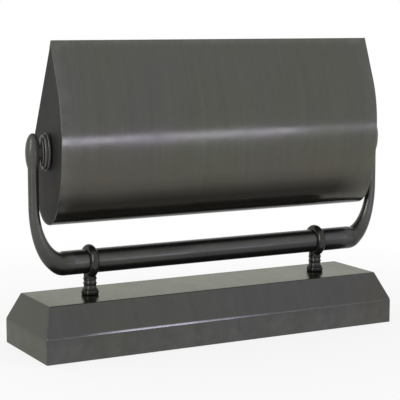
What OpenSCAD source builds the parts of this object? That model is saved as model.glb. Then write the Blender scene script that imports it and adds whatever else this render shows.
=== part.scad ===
// Mantel light: a weighted bevelled base, two turned ring posts, a crossbar with swept arms
// that turns in the rings, and a trough shade that tilts between the arms.
// Millimetres. X runs along the light, Y from front to back, Z up from the shelf.

/* [Base] */
// Length of the base
base_l = 276.8; // [250:0.2:310]
// Depth of the base
base_d = 76.4; // [68:0.2:86]
// Height of the upright edge of the base above the shelf
base_side_h = 17.6; // [14:0.1:20]
// Height of the top of the base above the shelf
base_h = 36.9; // [33:0.1:40]
// Run of the bevel at each end of the base
bevel_x = 7; // [4:0.5:11]
// Run of the bevel at the front and the back of the base
bevel_y = 11.4; // [8:0.2:13]
// Wall of the base cover
cover_wall = 2.2; // [1.8:0.1:2.8]
// Thickness of the felt under the base
felt_t = 1.8; // [1.4:0.1:2.4]
// Thickness of the bottom plate
plate_t = 1.6; // [1.2:0.1:2.2]
// Length of the ballast bar
weight_l = 144; // [100:1:160]
// Height of the ballast bar
weight_h = 15; // [10:0.5:18]
// Radius of the cord inlet
inlet_r = 3.2; // [2.6:0.1:3.8]

/* [Posts and crossbar] */
// Distance of each post from the end of the base
post_in = 45.6; // [42:0.2:52]
// Sideways set of the posts on the base
post_dx = 2.4; // [0:0.1:3]
// Height of the crossbar axis above the shelf
bar_z = 60.2; // [57:0.2:63]
// Diameter of the crossbar
bar_d = 16.9; // [15:0.1:18]
// Wall of the crossbar
bar_wall = 1.75; // [1.5:0.05:2]
// Width of each ring along the bar
ring_w = 6.8; // [5.6:0.1:7.6]
// Height of the ring above the bar
ring_t = 3.25; // [2.8:0.05:3.8]
// Neck diameter of each post
neck_d = 8.8; // [8.2:0.1:9.4]
// Foot diameter of each post
foot_d = 12.2; // [11.4:0.1:13]
// Sideways set of the crossbar in its rings
yoke_x = 7.3; // [0:0.1:8]

/* [Arms and pivots] */
// Length of the straight stub of each arm
stub_l = 5; // [3:0.2:7]
// Length of the sweep of each arm along the bar
sweep_x = 21.4; // [20:0.2:26]
// Rise of the sweep of each arm
sweep_z = 41; // [36:0.2:44]
// Diameter of the upright part of each arm
arm_d = 7.3; // [6.8:0.1:7.8]
// Diameter of each arm knob
knob_d = 10.3; // [10:0.1:11.4]
// Height of each arm knob above its pivot
knob_up = 13; // [10:0.1:14]
// Drop of each arm knob below its pivot
knob_drop = 11.3; // [10.5:0.1:13]
// Length of the hub between each knob and its collar
hub_l = 0.2; // [0.1:0.05:0.6]
// Thickness of the pivot collars
collar_t = 1; // [0.8:0.05:1.6]
// Diameter of the pivot journals
journal_d = 6; // [5.6:0.1:6.4]
// Thickness of the oval pivot plates
boss_t = 4.9; // [4.4:0.1:5.4]
// Width of the oval pivot plates
boss_w = 14.5; // [13:0.1:17]
// Height of the oval pivot plates
boss_h = 26; // [22:0.2:30]

/* [Shade] */
// Height of the light from the shelf to the ridge of the shade
light_h = 212.1; // [208:0.1:222]
// Set of each end of the shade inside the end of the base
shade_in = 11.4; // [8:0.1:16]
// Clear height between the crossbar and the shade
bar_clear = 18.15; // [15:0.05:22]
// Half depth of the shade
shade_a = 26.8; // [25:0.2:30]
// Share of the height of the shade that lies below its widest line
low_share = 0.485; // [0.46:0.005:0.51]
// Share of the height above the widest line that the oval of the section would reach
oval_share = 0.848; // [0.82:0.002:0.88]
// Fullness of the lower half of the section, where 1 is a plain ellipse and less is squarer
low_fill = 0.87; // [0.8:0.01:1]
// Set of the ridge in front of the middle of the shade
ridge_y = 9.4; // [7:0.1:14]
// Angle of the back lip below the widest line
lip_angle = 6.4; // [4:0.2:12]
// Set of the pivots in front of the middle of the shade
set_y = 3.5; // [1:0.1:5]
// Set of the pivots below the widest line
set_z = 10.2; // [7:0.1:12]
// Sheet thickness
sheet_t = 1; // [0.8:0.05:1.2]
// Thickness of the end caps
cap_t = 1.2; // [1:0.1:1.6]
// Width of the turned hems along the opening
hem_w = 5; // [3:0.2:7]

/* [Lampholder and lamp] */
// Outer radius of the lampholder
holder_r = 17; // [16.4:0.1:17.6]
// Radius of the tubular lamp
lamp_r = 15.5; // [14:0.1:16]
// Length of the lamp glass beyond its neck
lamp_l = 110; // [80:1:120]
// Width of the switch key
key_w = 11; // [8:0.2:14]

/* [Fits] */
// Radial gap of a turning fit
run_gap = 0.05; // [0.03:0.01:0.08]
// Radial gap of a fixed part in its hole
seat_gap = 0.05; // [0.03:0.01:0.08]
// Gap between facing discs that turn
face_gap = 0.12; // [0.08:0.02:0.2]
// Gap of a loose part round its edge
loose_gap = 0.4; // [0.3:0.05:0.6]

/* [Hidden] */
$fn = 96;

lap = 0.2;
cut = 1;
rim_gap = felt_t / 6;
plate_z = felt_t;
plate_top = plate_z + plate_t;
cover_top = base_h - cover_wall;
boss_in_x = 16;
boss_in_y = 7;
boss_x = base_l / 2 - bevel_x - cover_wall - boss_in_x;
boss_y = base_d / 2 - bevel_y - cover_wall - boss_in_y;
boss_r = 4.4;
screw_d = 3;
screw_l = 9;
head_d = 5.6;
head_h = 1.2;
slot_w = 0.8;
slot_deep = 0.6;
weight_hole = 14;
weight_r = 4;
weight_d = 34;
weight_x = weight_l / 2 - weight_hole;
weight_y = -(base_d / 2 - bevel_y - cover_wall) + 2.5 * loose_gap + weight_d / 2;
inlet_up = 6.2;
inlet_z = plate_top + inlet_up;
inlet_wall = 1.3;
inlet_flange = 1.6;
inlet_rim = 1.7;
inlet_step = 0.6;
inlet_lip = 1.4;
inlet_snap = 0.8;

post_x = base_l / 2 - post_in;
bar_r = bar_d / 2;
bar_in = bar_r - bar_wall;
stem_d = 7.8;
stem_l = cover_wall + 9;
washer_t = 1.2;
nut_h = 4.5;
nut_af = 1.65 * stem_d;
cord_d = 4.4;
cord_slot_x = 4.8;
cord_slot_y = 9.2;
grub_d = 3;
grub_slot = 0.6;
grub_deep = 0.9;
grub_sink = 0.2;
foot_h = 3.4;
foot_core = 1.2;
foot_bead = 1.15;
fine_r = 0.6;
cone_out = 0.75;
cone_h = 3.6;
mid_bead = 0.4;
mid_r = 0.8;
ring_bead = 0.35;
bead_r = 1;

shade_l = base_l - 2 * shade_in;
shade_h = light_h - bar_z - bar_r - bar_clear;
shade_low = low_share * shade_h;
ridge_z = shade_h - shade_low;
shade_up = oval_share * ridge_z;
pivot_z = light_h - ridge_z - set_z;
knob_r = knob_d / 2;
collar_face = shade_l / 2 + boss_t + face_gap;
hub_face = collar_face + collar_t;
arm_x = hub_face + hub_l + knob_r;
bend_x = arm_x - sweep_x;
seam_x = bend_x - stub_l;
arm_r = arm_d / 2;
arm_wall = 1.65;
arm_in = arm_r - arm_wall;
arm_lap = 0.8;
stub_wall = 1.5;
stub_in = bar_in - stub_wall;
bore_ease = 0.3;
spigot_l = 12;
tenon_d = 5;
tenon_l = 4;
knob_low = 1.34 * knob_drop;
egg_n = 14;
hub_d = 9;
collar_w = 10;
collar_h = 19.5;
groove_w = 1.5;
groove_in = 1.2;
groove_x = hub_face + groove_in;
groove_deep = 0.4;
groove_d = journal_d - 2 * groove_deep;
journal_lip = 0.6;
journal_end = groove_x + groove_w / 2 + journal_lip;
pin_d = 1.3;
pin_slot = 0.4;
pin_deep = 0.5;

flange_w = 6;
flange_from = 6;
flange_to = 4;
boss_neck = 2;
boss_step_w = 4;
boss_step_h = 7;
stud_d = 8;
stud_proud = 1.5;
stud_reach = 6.5;
wire_d = 3.4;
hex_af = 12;
hex_h = 4;

lamp_x = -shade_l / 2 + cap_t;
holder_x = hex_h + face_gap;
dome_r = 8;
dome_l = 13.8;
dome_rim = 1.8;
dome_boss = 7;
dome_wall = 1.3;
body_x = holder_x + dome_l;
body_l = 32;
rear_in = 2.4;
rear_l = 4;
chamber_r = 12;
band_l = 2;
band_in = 0.6;
wall_in = 6.4;
wall_x = body_x + wall_in;
wall_t = 3;
shell_r = 13.9;
shell_t = 0.5;
shell_back = 2;
rivet_r = 1.9;
contact_r = 4.2;
contact_h = 1.5;
button_r = 2.6;
button_h = 0.7;
key_in = 3.4;
key_u = body_x + key_in;
key_d = 3.4;
key_low = 9.5;
key_ring = 2.4;
key_ring_h = 1.4;
key_h = 7;
key_t = 2.4;
key_cut = 3.2;

lampcap_r = 13;
lampcap_l = 22.5;
cap_skin = 0.5;
cap_floor = 0.7;
skirt_l = 3.2;
eye_r = 3;
cone_r = 6;
thread_u = 3.8;
thread_h = 0.8;
crest = 0.1;
pitch = 3.6;
rolls = 4;
tip_h = 0.9;
tip_r = 2.2;
lamp_u = wall_x + wall_t + contact_h + face_gap;
glass_u = lamp_u + tip_h + lampcap_l - skirt_l + lap;
glass_t = 0.9;
neck_r = lampcap_r - cap_skin - seat_gap;
neck_l = 7;
swell_l = 10;
swell_n = 6;
dome_k = 0.7;
seal_z = 1;
flare_r = 4;
flare_z = 5;
rod_r = 2.4;
rod_z = 40;
rod_tip = 3.2;
rod_top = 44.4;
lead_d = 0.8;
lead_y = 1.2;
lead_z = 41;
lead_up = 11.6;
coil_d = 1.5;
coil_y = 6.6;
coil_end = 16;

steel = [0.55, 0.56, 0.58];
bronze = [0.27, 0.26, 0.25];
brass = [0.76, 0.62, 0.32];
black = [0.12, 0.12, 0.12];

// Curve of the shade section about its middle, moved inwards by o
function unit(v) = v / norm(v);
function pw(v, e) = sign(v) * pow(abs(v), e);
function low(t) = t > 180 ? shade_low : shade_up;
function fill(t) = t > 180 ? low_fill : 1;
function nrm(t) = unit([pw(cos(t), 2 - fill(t)) / shade_a, pw(sin(t), 2 - fill(t)) / low(t)]);
function arc_pt(t, o) = [shade_a * pw(cos(t), fill(t)), low(t) * pw(sin(t), fill(t))] - o * nrm(t);
function corner(p, u, v, o) = p + unit(u + v) * o / sin(acos(u * v) / 2);
ridge = [-ridge_y, ridge_z];
ridge_k = [-ridge_y / shade_a, ridge_z / shade_up];
touch_t = atan2(ridge_k[1], ridge_k[0]) + acos(1 / norm(ridge_k));
lip_t = 360 - lip_angle;
steps = 44;
turn = [for (i = [0 : steps]) touch_t + (lip_t - touch_t) * i / steps];
lip = arc_pt(lip_t, 0);
open_dir = unit(lip - ridge);
open_in = [open_dir[1], -open_dir[0]];
front_dir = unit(arc_pt(touch_t, 0) - ridge);
lip_dir = unit(arc_pt(turn[steps - 1], 0) - lip);
function ridge_in(o) = corner(ridge, open_dir, front_dir, o);
function lip_in(o) = corner(lip, -open_dir, lip_dir, o);
function outline(o) = concat([ridge_in(o)], [for (i = [0 : steps - 1]) arc_pt(turn[i], o)], [lip_in(o)]);
function back_order(l) = [for (i = [len(l) - 1 : -1 : 0]) l[i]];
function oval(w, h) = [for (i = [0 : 47]) [w / 2 * cos(i * 7.5), h / 2 * sin(i * 7.5)]];
open_turn = atan2(-open_dir[1], open_dir[0]);

module in_yoke() {
    translate([yoke_x, 0, 0])
        children();
}

module at_pivot() {
    translate([yoke_x, 0, pivot_z])
        children();
}

module pair() {
    children();
    mirror([1, 0, 0])
        children();
}

module left() {
    mirror([1, 0, 0])
        children();
}

module along_x(x) {
    translate([x, 0, 0])
        rotate([0, 90, 0])
            children();
}

// Section drawn in Y and Z about the pivots, pushed along X from x by l
module section(x, l) {
    translate([x, set_y, set_z])
        rotate([90, 0, 90])
            linear_extrude(height = l)
                children();
}

// Oval drawn in Y and Z, pushed along X from x by l
module oval_plate(x, l, w, h) {
    translate([x, 0, 0])
        rotate([90, 0, 90])
            linear_extrude(height = l)
                polygon(oval(w, h));
}

module bead(r_out, r, z) {
    translate([0, 0, z])
        rotate_extrude()
            translate([r_out - r, 0])
                circle(r = r, $fn = 32);
}

// Outline of the base seen along one axis, moved inwards by w and standing on z0
module bevel_side(half, run, w, z0) {
    lean = atan2(run, base_h - base_side_h);
    side = half - w;
    up = base_side_h - w * tan(lean / 2);
    top = half - run - w * tan((90 - lean) / 2);
    polygon([[-side, z0], [side, z0], [side, up], [top, base_h - w], [-top, base_h - w], [-side, up]]);
}

module base_block(w, z0) {
    intersection() {
        translate([0, base_d, 0])
            rotate([90, 0, 0])
                linear_extrude(height = 2 * base_d)
                    bevel_side(base_l / 2, bevel_x, w, z0);
        translate([-base_l, 0, 0])
            rotate([90, 0, 90])
                linear_extrude(height = 2 * base_l)
                    bevel_side(base_d / 2, bevel_y, w, z0);
    }
}

module at_bosses() {
    for (x = [-1, 1])
        for (y = [-1, 1])
            translate([x * boss_x, y * boss_y, 0])
                children();
}

module at_weight_screws() {
    for (x = [-1, 1])
        translate([x * weight_x, weight_y, 0])
            children();
}

module at_posts() {
    for (x = [-1, 1])
        translate([x * post_x + post_dx, 0, 0])
            children();
}

module base_cover() {
    color(bronze)
        difference() {
            union() {
                difference() {
                    base_block(0, rim_gap);
                    base_block(cover_wall, -cut);
                }
                at_bosses()
                    translate([0, 0, plate_top])
                        cylinder(r = boss_r, h = cover_top - plate_top + lap);
            }
            at_bosses()
                translate([0, 0, plate_top - cut])
                    cylinder(d = screw_d + 2 * seat_gap, h = screw_l + 2 * cut);
            at_posts()
                translate([0, 0, cover_top - cut])
                    cylinder(d = stem_d + 4 * seat_gap, h = cover_wall + 2 * cut);
            translate([0, base_d / 2 - cover_wall - cut, inlet_z])
                rotate([-90, 0, 0])
                    cylinder(r = inlet_r + inlet_wall + seat_gap, h = cover_wall + 2 * cut);
        }
}

module base_weight() {
    color(black)
        difference() {
            translate([0, weight_y, plate_top])
                linear_extrude(height = weight_h)
                    union() {
                        square([weight_l, weight_d - 2 * weight_r], center = true);
                        square([weight_l - 2 * weight_r, weight_d], center = true);
                        for (x = [-1, 1])
                            for (y = [-1, 1])
                                translate([x * (weight_l / 2 - weight_r), y * (weight_d / 2 - weight_r)])
                                    circle(r = weight_r);
                    }
            at_weight_screws()
                translate([0, 0, plate_top - cut])
                    cylinder(d = screw_d + 2 * seat_gap, h = screw_l + 2 * cut);
        }
}

module floor_sheet(edge, t) {
    translate([-base_l / 2 + edge, -base_d / 2 + edge, 0])
        cube([base_l - 2 * edge, base_d - 2 * edge, t]);
}

module base_plate() {
    color(steel)
        difference() {
            translate([0, 0, plate_z])
                floor_sheet(cover_wall + loose_gap, plate_t);
            at_bosses()
                translate([0, 0, plate_z - cut])
                    cylinder(d = screw_d + loose_gap, h = plate_t + 2 * cut);
            at_weight_screws()
                translate([0, 0, plate_z - cut])
                    cylinder(d = screw_d + loose_gap, h = plate_t + 2 * cut);
        }
}

module felt_pad() {
    color([0.10, 0.16, 0.11])
        difference() {
            floor_sheet(cover_wall + 2 * loose_gap, felt_t);
            at_bosses()
                translate([0, 0, -cut])
                    cylinder(d = head_d + 4 * loose_gap, h = felt_t + 2 * cut);
            at_weight_screws()
                translate([0, 0, -cut])
                    cylinder(d = head_d + 4 * loose_gap, h = felt_t + 2 * cut);
        }
}

module plate_screw() {
    difference() {
        union() {
            translate([0, 0, plate_z - head_h])
                cylinder(d = head_d, h = head_h);
            translate([0, 0, plate_z - lap])
                cylinder(d = screw_d, h = screw_l + plate_t);
        }
        translate([-head_d / 2, -slot_w / 2, plate_z - head_h - cut])
            cube([head_d, slot_w, slot_deep + cut]);
    }
}

module plate_screws() {
    color(steel) {
        at_bosses()
            plate_screw();
        at_weight_screws()
            plate_screw();
    }
}

module cord_bushing() {
    r = inlet_r + inlet_wall;
    inner = cover_wall + inlet_lip;
    color(black)
        translate([0, base_d / 2, inlet_z])
            rotate([-90, 0, 0])
                difference() {
                    union() {
                        cylinder(r = r + inlet_rim, h = inlet_flange - inlet_step);
                        cylinder(r = r + inlet_rim - inlet_step, h = inlet_flange);
                        translate([0, 0, -inner])
                            cylinder(r = r, h = inner + lap);
                        translate([0, 0, -inner])
                            cylinder(r = r + inlet_snap, h = inlet_lip);
                    }
                    translate([0, 0, -inner - cut])
                        cylinder(r = inlet_r, h = inner + inlet_flange + 2 * cut);
                }
}

// Turned ring post standing on the base; the foot, beads and neck are turned about Z, the ring about X
module post(cord) {
    foot_r = foot_d / 2;
    neck_r = neck_d / 2;
    cone_z = base_h + foot_h;
    difference() {
        union() {
            translate([0, 0, base_h - stem_l])
                cylinder(d = stem_d, h = stem_l + cut);
            translate([0, 0, base_h])
                cylinder(r = foot_r - foot_core, h = foot_h);
            bead(foot_r, foot_h / 2, base_h + foot_h / 2);
            bead(neck_r + foot_bead, fine_r, cone_z + fine_r / 2);
            translate([0, 0, cone_z])
                cylinder(r1 = neck_r + cone_out, r2 = neck_r, h = cone_h);
            translate([0, 0, base_h])
                cylinder(r = neck_r, h = bar_z - base_h - bar_r / 2);
            bead(neck_r + mid_bead, mid_r, cone_z + cone_h + mid_r);
            bead(neck_r + ring_bead, bead_r, bar_z - bar_r - ring_t - bead_r / 2);
            translate([0, 0, bar_z])
                rotate([0, 90, 0])
                    rotate_extrude()
                        intersection() {
                            translate([bar_r + ring_t - ring_w / 2, 0])
                                circle(d = ring_w, $fn = 48);
                            translate([bar_r - cut, -ring_w])
                                square([ring_t + 2 * cut, 2 * ring_w]);
                        }
        }
        translate([-ring_w, 0, bar_z])
            rotate([0, 90, 0])
                cylinder(r = bar_r + run_gap, h = 2 * ring_w);
        translate([0, 0, bar_z])
            rotate([-90, 0, 0])
                cylinder(d = grub_d + 2 * seat_gap, h = bar_r + ring_t + 2 * cut);
        if (cord)
            translate([0, 0, base_h - stem_l - cut])
                cylinder(d = cord_d, h = bar_z - base_h + stem_l - bar_r / 2);
    }
}

module left_post() {
    color(bronze)
        translate([post_dx - post_x, 0, 0])
            post(true);
}

module right_post() {
    color(bronze)
        translate([post_dx + post_x, 0, 0])
            post(false);
}

module post_washers() {
    color(steel)
        at_posts()
            translate([0, 0, cover_top - washer_t])
                difference() {
                    cylinder(d = 2 * stem_d, h = washer_t);
                    translate([0, 0, -cut])
                        cylinder(d = stem_d + 4 * seat_gap, h = washer_t + 2 * cut);
                }
}

module hex_nut(af, h, hole) {
    difference() {
        linear_extrude(height = h)
            circle(d = af / cos(30), $fn = 6);
        translate([0, 0, -cut])
            cylinder(d = hole, h = h + 2 * cut);
    }
}

module post_nuts() {
    color(steel)
        at_posts()
            translate([0, 0, cover_top - washer_t - nut_h])
                hex_nut(nut_af, nut_h, stem_d + 2 * seat_gap);
}

module ring_screws() {
    tip = bar_r + 2 * face_gap;
    end = bar_r + ring_t - grub_sink;
    color(steel)
        at_posts()
            translate([0, 0, bar_z])
                rotate([-90, 0, 0])
                    difference() {
                        translate([0, 0, tip])
                            cylinder(d = grub_d, h = end - tip);
                        translate([-grub_d, -grub_slot / 2, end - grub_deep])
                            cube([2 * grub_d, grub_slot, grub_deep + cut]);
                    }
}

module crossbar() {
    color(bronze)
        in_yoke()
            translate([0, 0, bar_z])
                difference() {
                    along_x(-seam_x)
                        cylinder(r = bar_r, h = 2 * seam_x);
                    along_x(-seam_x - cut)
                        cylinder(r = bar_in, h = 2 * seam_x + 2 * cut);
                    translate([post_dx - post_x - yoke_x - cord_slot_x / 2, -cord_slot_y / 2, -bar_r - cut])
                        cube([cord_slot_x, cord_slot_y, bar_r + cut - bar_in / 2]);
                }
}

// One round station of an arm: middle, outward direction in X and Z, radius
function ring_pts(c, n, r, m) = [for (i = [0 : m - 1])
    let (a = 360 * i / m) [c[0] + n[0] * r * cos(a), r * sin(a), c[1] + n[1] * r * cos(a)]];
arm_m = 24;
bend_n = 15;
function bend_c(t) = [bend_x + sweep_x * sin(t), bar_z + sweep_z * (1 - cos(t))];
function bend_o(t) = unit([sweep_z * sin(t), -sweep_x * cos(t)]);
bend_ease = 20;
function ease(u) = u < 1 ? u * u * (3 - 2 * u) : 1;
function taper(q) = sin(q) * ease(q / bend_ease);
function skin(q, in) = in ? stub_in + (arm_in - stub_in) * taper(q) : bar_r + (arm_r - bar_r) * taper(q);
function arm_ring(i, in) = i == 0 ? ring_pts([seam_x, bar_z], [0, -1], skin(0, in), arm_m)
    : i <= bend_n + 1 ? ring_pts(bend_c((i - 1) * 90 / bend_n), bend_o((i - 1) * 90 / bend_n),
        skin((i - 1) * 90 / bend_n, in), arm_m)
    : ring_pts([arm_x, pivot_z - knob_drop], [1, 0], skin(90, in), arm_m);
arm_k = bend_n + 3;

// Swept body of an arm between the seam and the knob, or the cord passage in it
module arm_sweep(in) {
    pts = [for (i = [0 : arm_k - 1]) each arm_ring(i, in)];
    last = (arm_k - 1) * arm_m;
    faces = concat(
        [[for (j = [0 : arm_m - 1]) j]],
        [for (i = [0 : arm_k - 2]) for (j = [0 : arm_m - 1]) let (a = i * arm_m, k = (j + 1) % arm_m)
            each [[a + j, a + arm_m + j, a + arm_m + k], [a + j, a + arm_m + k, a + k]]],
        [[for (j = [arm_m - 1 : -1 : 0]) last + j]]);
    polyhedron(points = pts, faces = faces, convexity = 8);
}

module arm() {
    difference() {
        arm_sweep(false);
        arm_sweep(true);
    }
    translate([0, 0, bar_z])
        difference() {
            along_x(seam_x - spigot_l)
                cylinder(r = bar_in - seat_gap, h = spigot_l + arm_lap);
            along_x(seam_x - spigot_l - cut)
                cylinder(r = stub_in + bore_ease, h = spigot_l + arm_lap + 2 * cut);
        }
    translate([arm_x, 0, pivot_z - knob_drop])
        difference() {
            translate([0, 0, -arm_lap])
                cylinder(d = tenon_d, h = tenon_l + arm_lap);
            translate([0, 0, -arm_lap - cut])
                cylinder(r = arm_in + bore_ease / 2, h = tenon_l + arm_lap + 2 * cut);
        }
}

module left_arm() {
    color(bronze)
        in_yoke()
            left()
                arm();
}

module right_arm() {
    color(bronze)
        in_yoke()
            arm();
}

// Egg-shaped boss at the head of an arm, bored for the pivot journal and for the cord
module knob() {
    egg_t = asin(knob_drop / knob_low);
    difference() {
        union() {
            translate([arm_x, 0, 0])
                rotate_extrude()
                    polygon(concat([[0, -knob_drop]],
                        [for (i = [0 : egg_n - 1]) let (t = egg_t * (i / egg_n - 1))
                            [knob_r * cos(t), knob_low * sin(t)]],
                        [for (i = [0 : egg_n - 1]) let (t = 90 * i / egg_n)
                            [knob_r * cos(t), knob_up * sin(t)]],
                        [[0, knob_up]]));
            along_x(hub_face)
                cylinder(d = hub_d, h = arm_x - hub_face);
        }
        along_x(hub_face - cut)
            cylinder(d = journal_d + 2 * run_gap, h = arm_x + cord_d / 2 - hub_face + cut);
        translate([arm_x, 0, -knob_drop - cut])
            cylinder(d = tenon_d + 2 * seat_gap, h = tenon_l + cut + lap);
        translate([arm_x, 0, -knob_drop - cut])
            cylinder(r = arm_in + bore_ease / 2, h = knob_drop + cut);
        translate([groove_x, 0, 0])
            rotate([-90, 0, 0])
                cylinder(d = pin_d + 2 * seat_gap, h = hub_d);
    }
}

module left_knob() {
    color(bronze)
        at_pivot()
            left()
                knob();
}

module right_knob() {
    color(bronze)
        at_pivot()
            knob();
}

module pivot_collars() {
    color(bronze)
        at_pivot()
            pair()
                difference() {
                    oval_plate(collar_face, collar_t, collar_w, collar_h);
                    along_x(collar_face - cut)
                        cylinder(d = journal_d + 2 * run_gap, h = collar_t + 2 * cut);
                }
}

module knob_screws() {
    tip = groove_d / 2 + face_gap;
    end = hub_d / 2 - grub_sink;
    color(steel)
        at_pivot()
            pair()
                translate([groove_x, 0, 0])
                    rotate([-90, 0, 0])
                        difference() {
                            translate([0, 0, tip])
                                cylinder(d = pin_d, h = end - tip);
                            translate([-pin_d, -pin_slot / 2, end - pin_deep])
                                cube([2 * pin_d, pin_slot, pin_deep + cut]);
                        }
}

// Sheet of the shade: flat front from the ridge, round bottom, back lip, and a hem on each free edge
module shade_wrap() {
    hem_top = ridge + hem_w * open_dir;
    hem_low = lip - hem_w * open_dir;
    color(bronze)
        at_pivot()
            section(-shade_l / 2, shade_l)
                polygon(concat(outline(0), [hem_low, hem_low + sheet_t * open_in],
                    back_order(outline(sheet_t)), [hem_top + sheet_t * open_in, hem_top]));
}

// End cap inside the end of the sheet, flush with the hems and with a turned flange along the opening
module end_cap() {
    top = ridge + (hem_w + seat_gap) * open_dir;
    foot = lip - (hem_w + seat_gap) * open_dir;
    from = top + flange_from * open_dir;
    to = foot - flange_to * open_dir;
    edge = (sheet_t + lap) * open_in;
    turned = cap_t * open_in;
    difference() {
        union() {
            section(shade_l / 2 - cap_t, cap_t)
                union() {
                    polygon(outline(sheet_t));
                    polygon([top, foot, foot + edge, top + edge]);
                }
            section(shade_l / 2 - flange_w, flange_w)
                polygon([from, to, to + turned, from + turned]);
        }
        along_x(shade_l / 2 - flange_w - cut)
            cylinder(d = stud_d + 2 * seat_gap, h = flange_w + 2 * cut);
    }
}

module left_cap() {
    color(bronze)
        at_pivot()
            left()
                end_cap();
}

module right_cap() {
    color(bronze)
        at_pivot()
            end_cap();
}

module pivot_plates() {
    color(bronze)
        at_pivot()
            pair()
                difference() {
                    union() {
                        oval_plate(shade_l / 2, boss_t, boss_w - boss_step_w, boss_h - boss_step_h);
                        oval_plate(shade_l / 2 + boss_neck, boss_t - boss_neck, boss_w, boss_h);
                    }
                    along_x(shade_l / 2 - cut)
                        cylinder(d = stud_d + 2 * seat_gap, h = boss_t + 2 * cut);
                }
}

// Pivot stud: a grooved journal in the knob, a shoulder in the plate and cap, and a threaded inner end
module stud(inner, bored) {
    difference() {
        union() {
            along_x(shade_l / 2 - cap_t - inner)
                cylinder(d = stud_d, h = inner + cap_t + boss_t - face_gap);
            along_x(shade_l / 2)
                cylinder(d = journal_d, h = journal_end - shade_l / 2);
        }
        along_x(groove_x - groove_w / 2)
            difference() {
                cylinder(d = journal_d + cut, h = groove_w);
                translate([0, 0, -cut])
                    cylinder(d = groove_d, h = groove_w + 2 * cut);
            }
        if (bored)
            along_x(shade_l / 2 - cap_t - inner - cut)
                cylinder(d = wire_d, h = inner + cap_t + arm_x - shade_l / 2 + 2 * cut);
    }
}

module left_stud() {
    color(brass)
        at_pivot()
            left()
                stud(holder_x + stud_reach, true);
}

module right_stud() {
    color(brass)
        at_pivot()
            stud(hex_h + stud_proud, false);
}

module cap_nuts() {
    color(brass)
        at_pivot()
            pair()
                along_x(shade_l / 2 - cap_t - hex_h)
                    hex_nut(hex_af, hex_h, stud_d + 2 * seat_gap);
}

// Places a turned lampholder or lamp piece on the pivot axis, counted inwards from the left cap
module on_lamp(u) {
    at_pivot()
        along_x(lamp_x + u)
            children();
}

module socket_cap() {
    hole = stud_d / 2 + seat_gap;
    mid = [holder_r - dome_r, dome_l - dome_rim];
    inner = dome_r - dome_wall;
    color(brass)
        on_lamp(holder_x)
            rotate_extrude()
                polygon(concat([[hole, 0], [dome_boss, 0], [dome_boss, mid[1] - dome_r]],
                    [for (a = [0 : 10 : 90]) mid + dome_r * [sin(a), -cos(a)]],
                    [[holder_r, dome_l], [holder_r - dome_wall, dome_l]],
                    [for (a = [90 : -10 : 0]) mid + inner * [sin(a), -cos(a)]],
                    [[hole, mid[1] - inner]]));
}

module socket_body() {
    r = holder_r;
    waist = r - band_in;
    well = shell_r + shell_t + seat_gap;
    eye = rivet_r + 2 * seat_gap;
    color(black)
        difference() {
            on_lamp(body_x)
                rotate_extrude()
                    polygon([[chamber_r, -rear_l], [r - rear_in, -rear_l], [r - rear_in, 0], [r, 0],
                        [r, band_l], [waist, band_l + band_in], [waist, body_l - band_l - band_in],
                        [r, body_l - band_l], [r, body_l - band_in], [waist, body_l], [well, body_l],
                        [well, wall_in + wall_t],
                        [eye, wall_in + wall_t], [eye, wall_in], [chamber_r, wall_in]]);
            at_key()
                cylinder(d = key_d + 2 * run_gap, h = holder_r + cut);
        }
}

module screw_shell() {
    l = body_l - wall_in - wall_t - shell_back;
    color(brass)
        on_lamp(wall_x + wall_t)
            difference() {
                cylinder(r = shell_r + shell_t, h = l);
                translate([0, 0, -cut])
                    cylinder(r = shell_r, h = l + 2 * cut);
            }
}

module centre_contact() {
    color(brass)
        on_lamp(wall_x + wall_t) {
            cylinder(r = contact_r, h = contact_h - button_h);
            cylinder(r = button_r, h = contact_h);
            translate([0, 0, -wall_t])
                cylinder(r = rivet_r, h = wall_t + lap);
        }
}

// Stands on the lampholder's axis at the key, with Z turned to the outward direction of the opening
module at_key() {
    at_pivot()
        translate([lamp_x + key_u, 0, 0])
            rotate([-open_turn, 0, 0])
                children();
}

module switch_key() {
    ring_z = holder_r + loose_gap;
    blade_z = ring_z + key_ring_h - lap;
    color(black)
        at_key() {
            translate([0, 0, key_low])
                cylinder(d = key_d, h = blade_z + lap - key_low);
            translate([0, 0, ring_z])
                cylinder(d = key_d + key_ring, h = key_ring_h);
            translate([0, 0, blade_z])
                difference() {
                    translate([-key_w / 2, -key_t / 2, 0])
                        cube([key_w, key_t, key_h]);
                    for (s = [-1, 1])
                        translate([s * key_w / 2, 0, key_h])
                            rotate([0, 45, 0])
                                cube([key_cut, 2 * key_t, key_cut], center = true);
                }
        }
}

function swell_pt(k, t) = [neck_r - t + (lamp_r - neck_r) * (1 - cos(180 * k / swell_n)) / 2,
    neck_l + swell_l * k / swell_n];
function dome_pt(a, t) = [(lamp_r - t) * cos(a), lamp_l + (dome_k * lamp_r - t) * sin(a)];

module lamp_glass() {
    color([0.95, 0.95, 0.92])
        on_lamp(glass_u)
            rotate_extrude()
                polygon(concat([[neck_r - glass_t, 0], [neck_r, 0]],
                    [for (k = [0 : swell_n]) swell_pt(k, 0)],
                    [for (a = [0 : 7.5 : 90]) dome_pt(a, 0)],
                    [for (a = [90 : -7.5 : 0]) dome_pt(a, glass_t)],
                    [for (k = [swell_n : -1 : 0]) swell_pt(k, glass_t)]));
}

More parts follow.
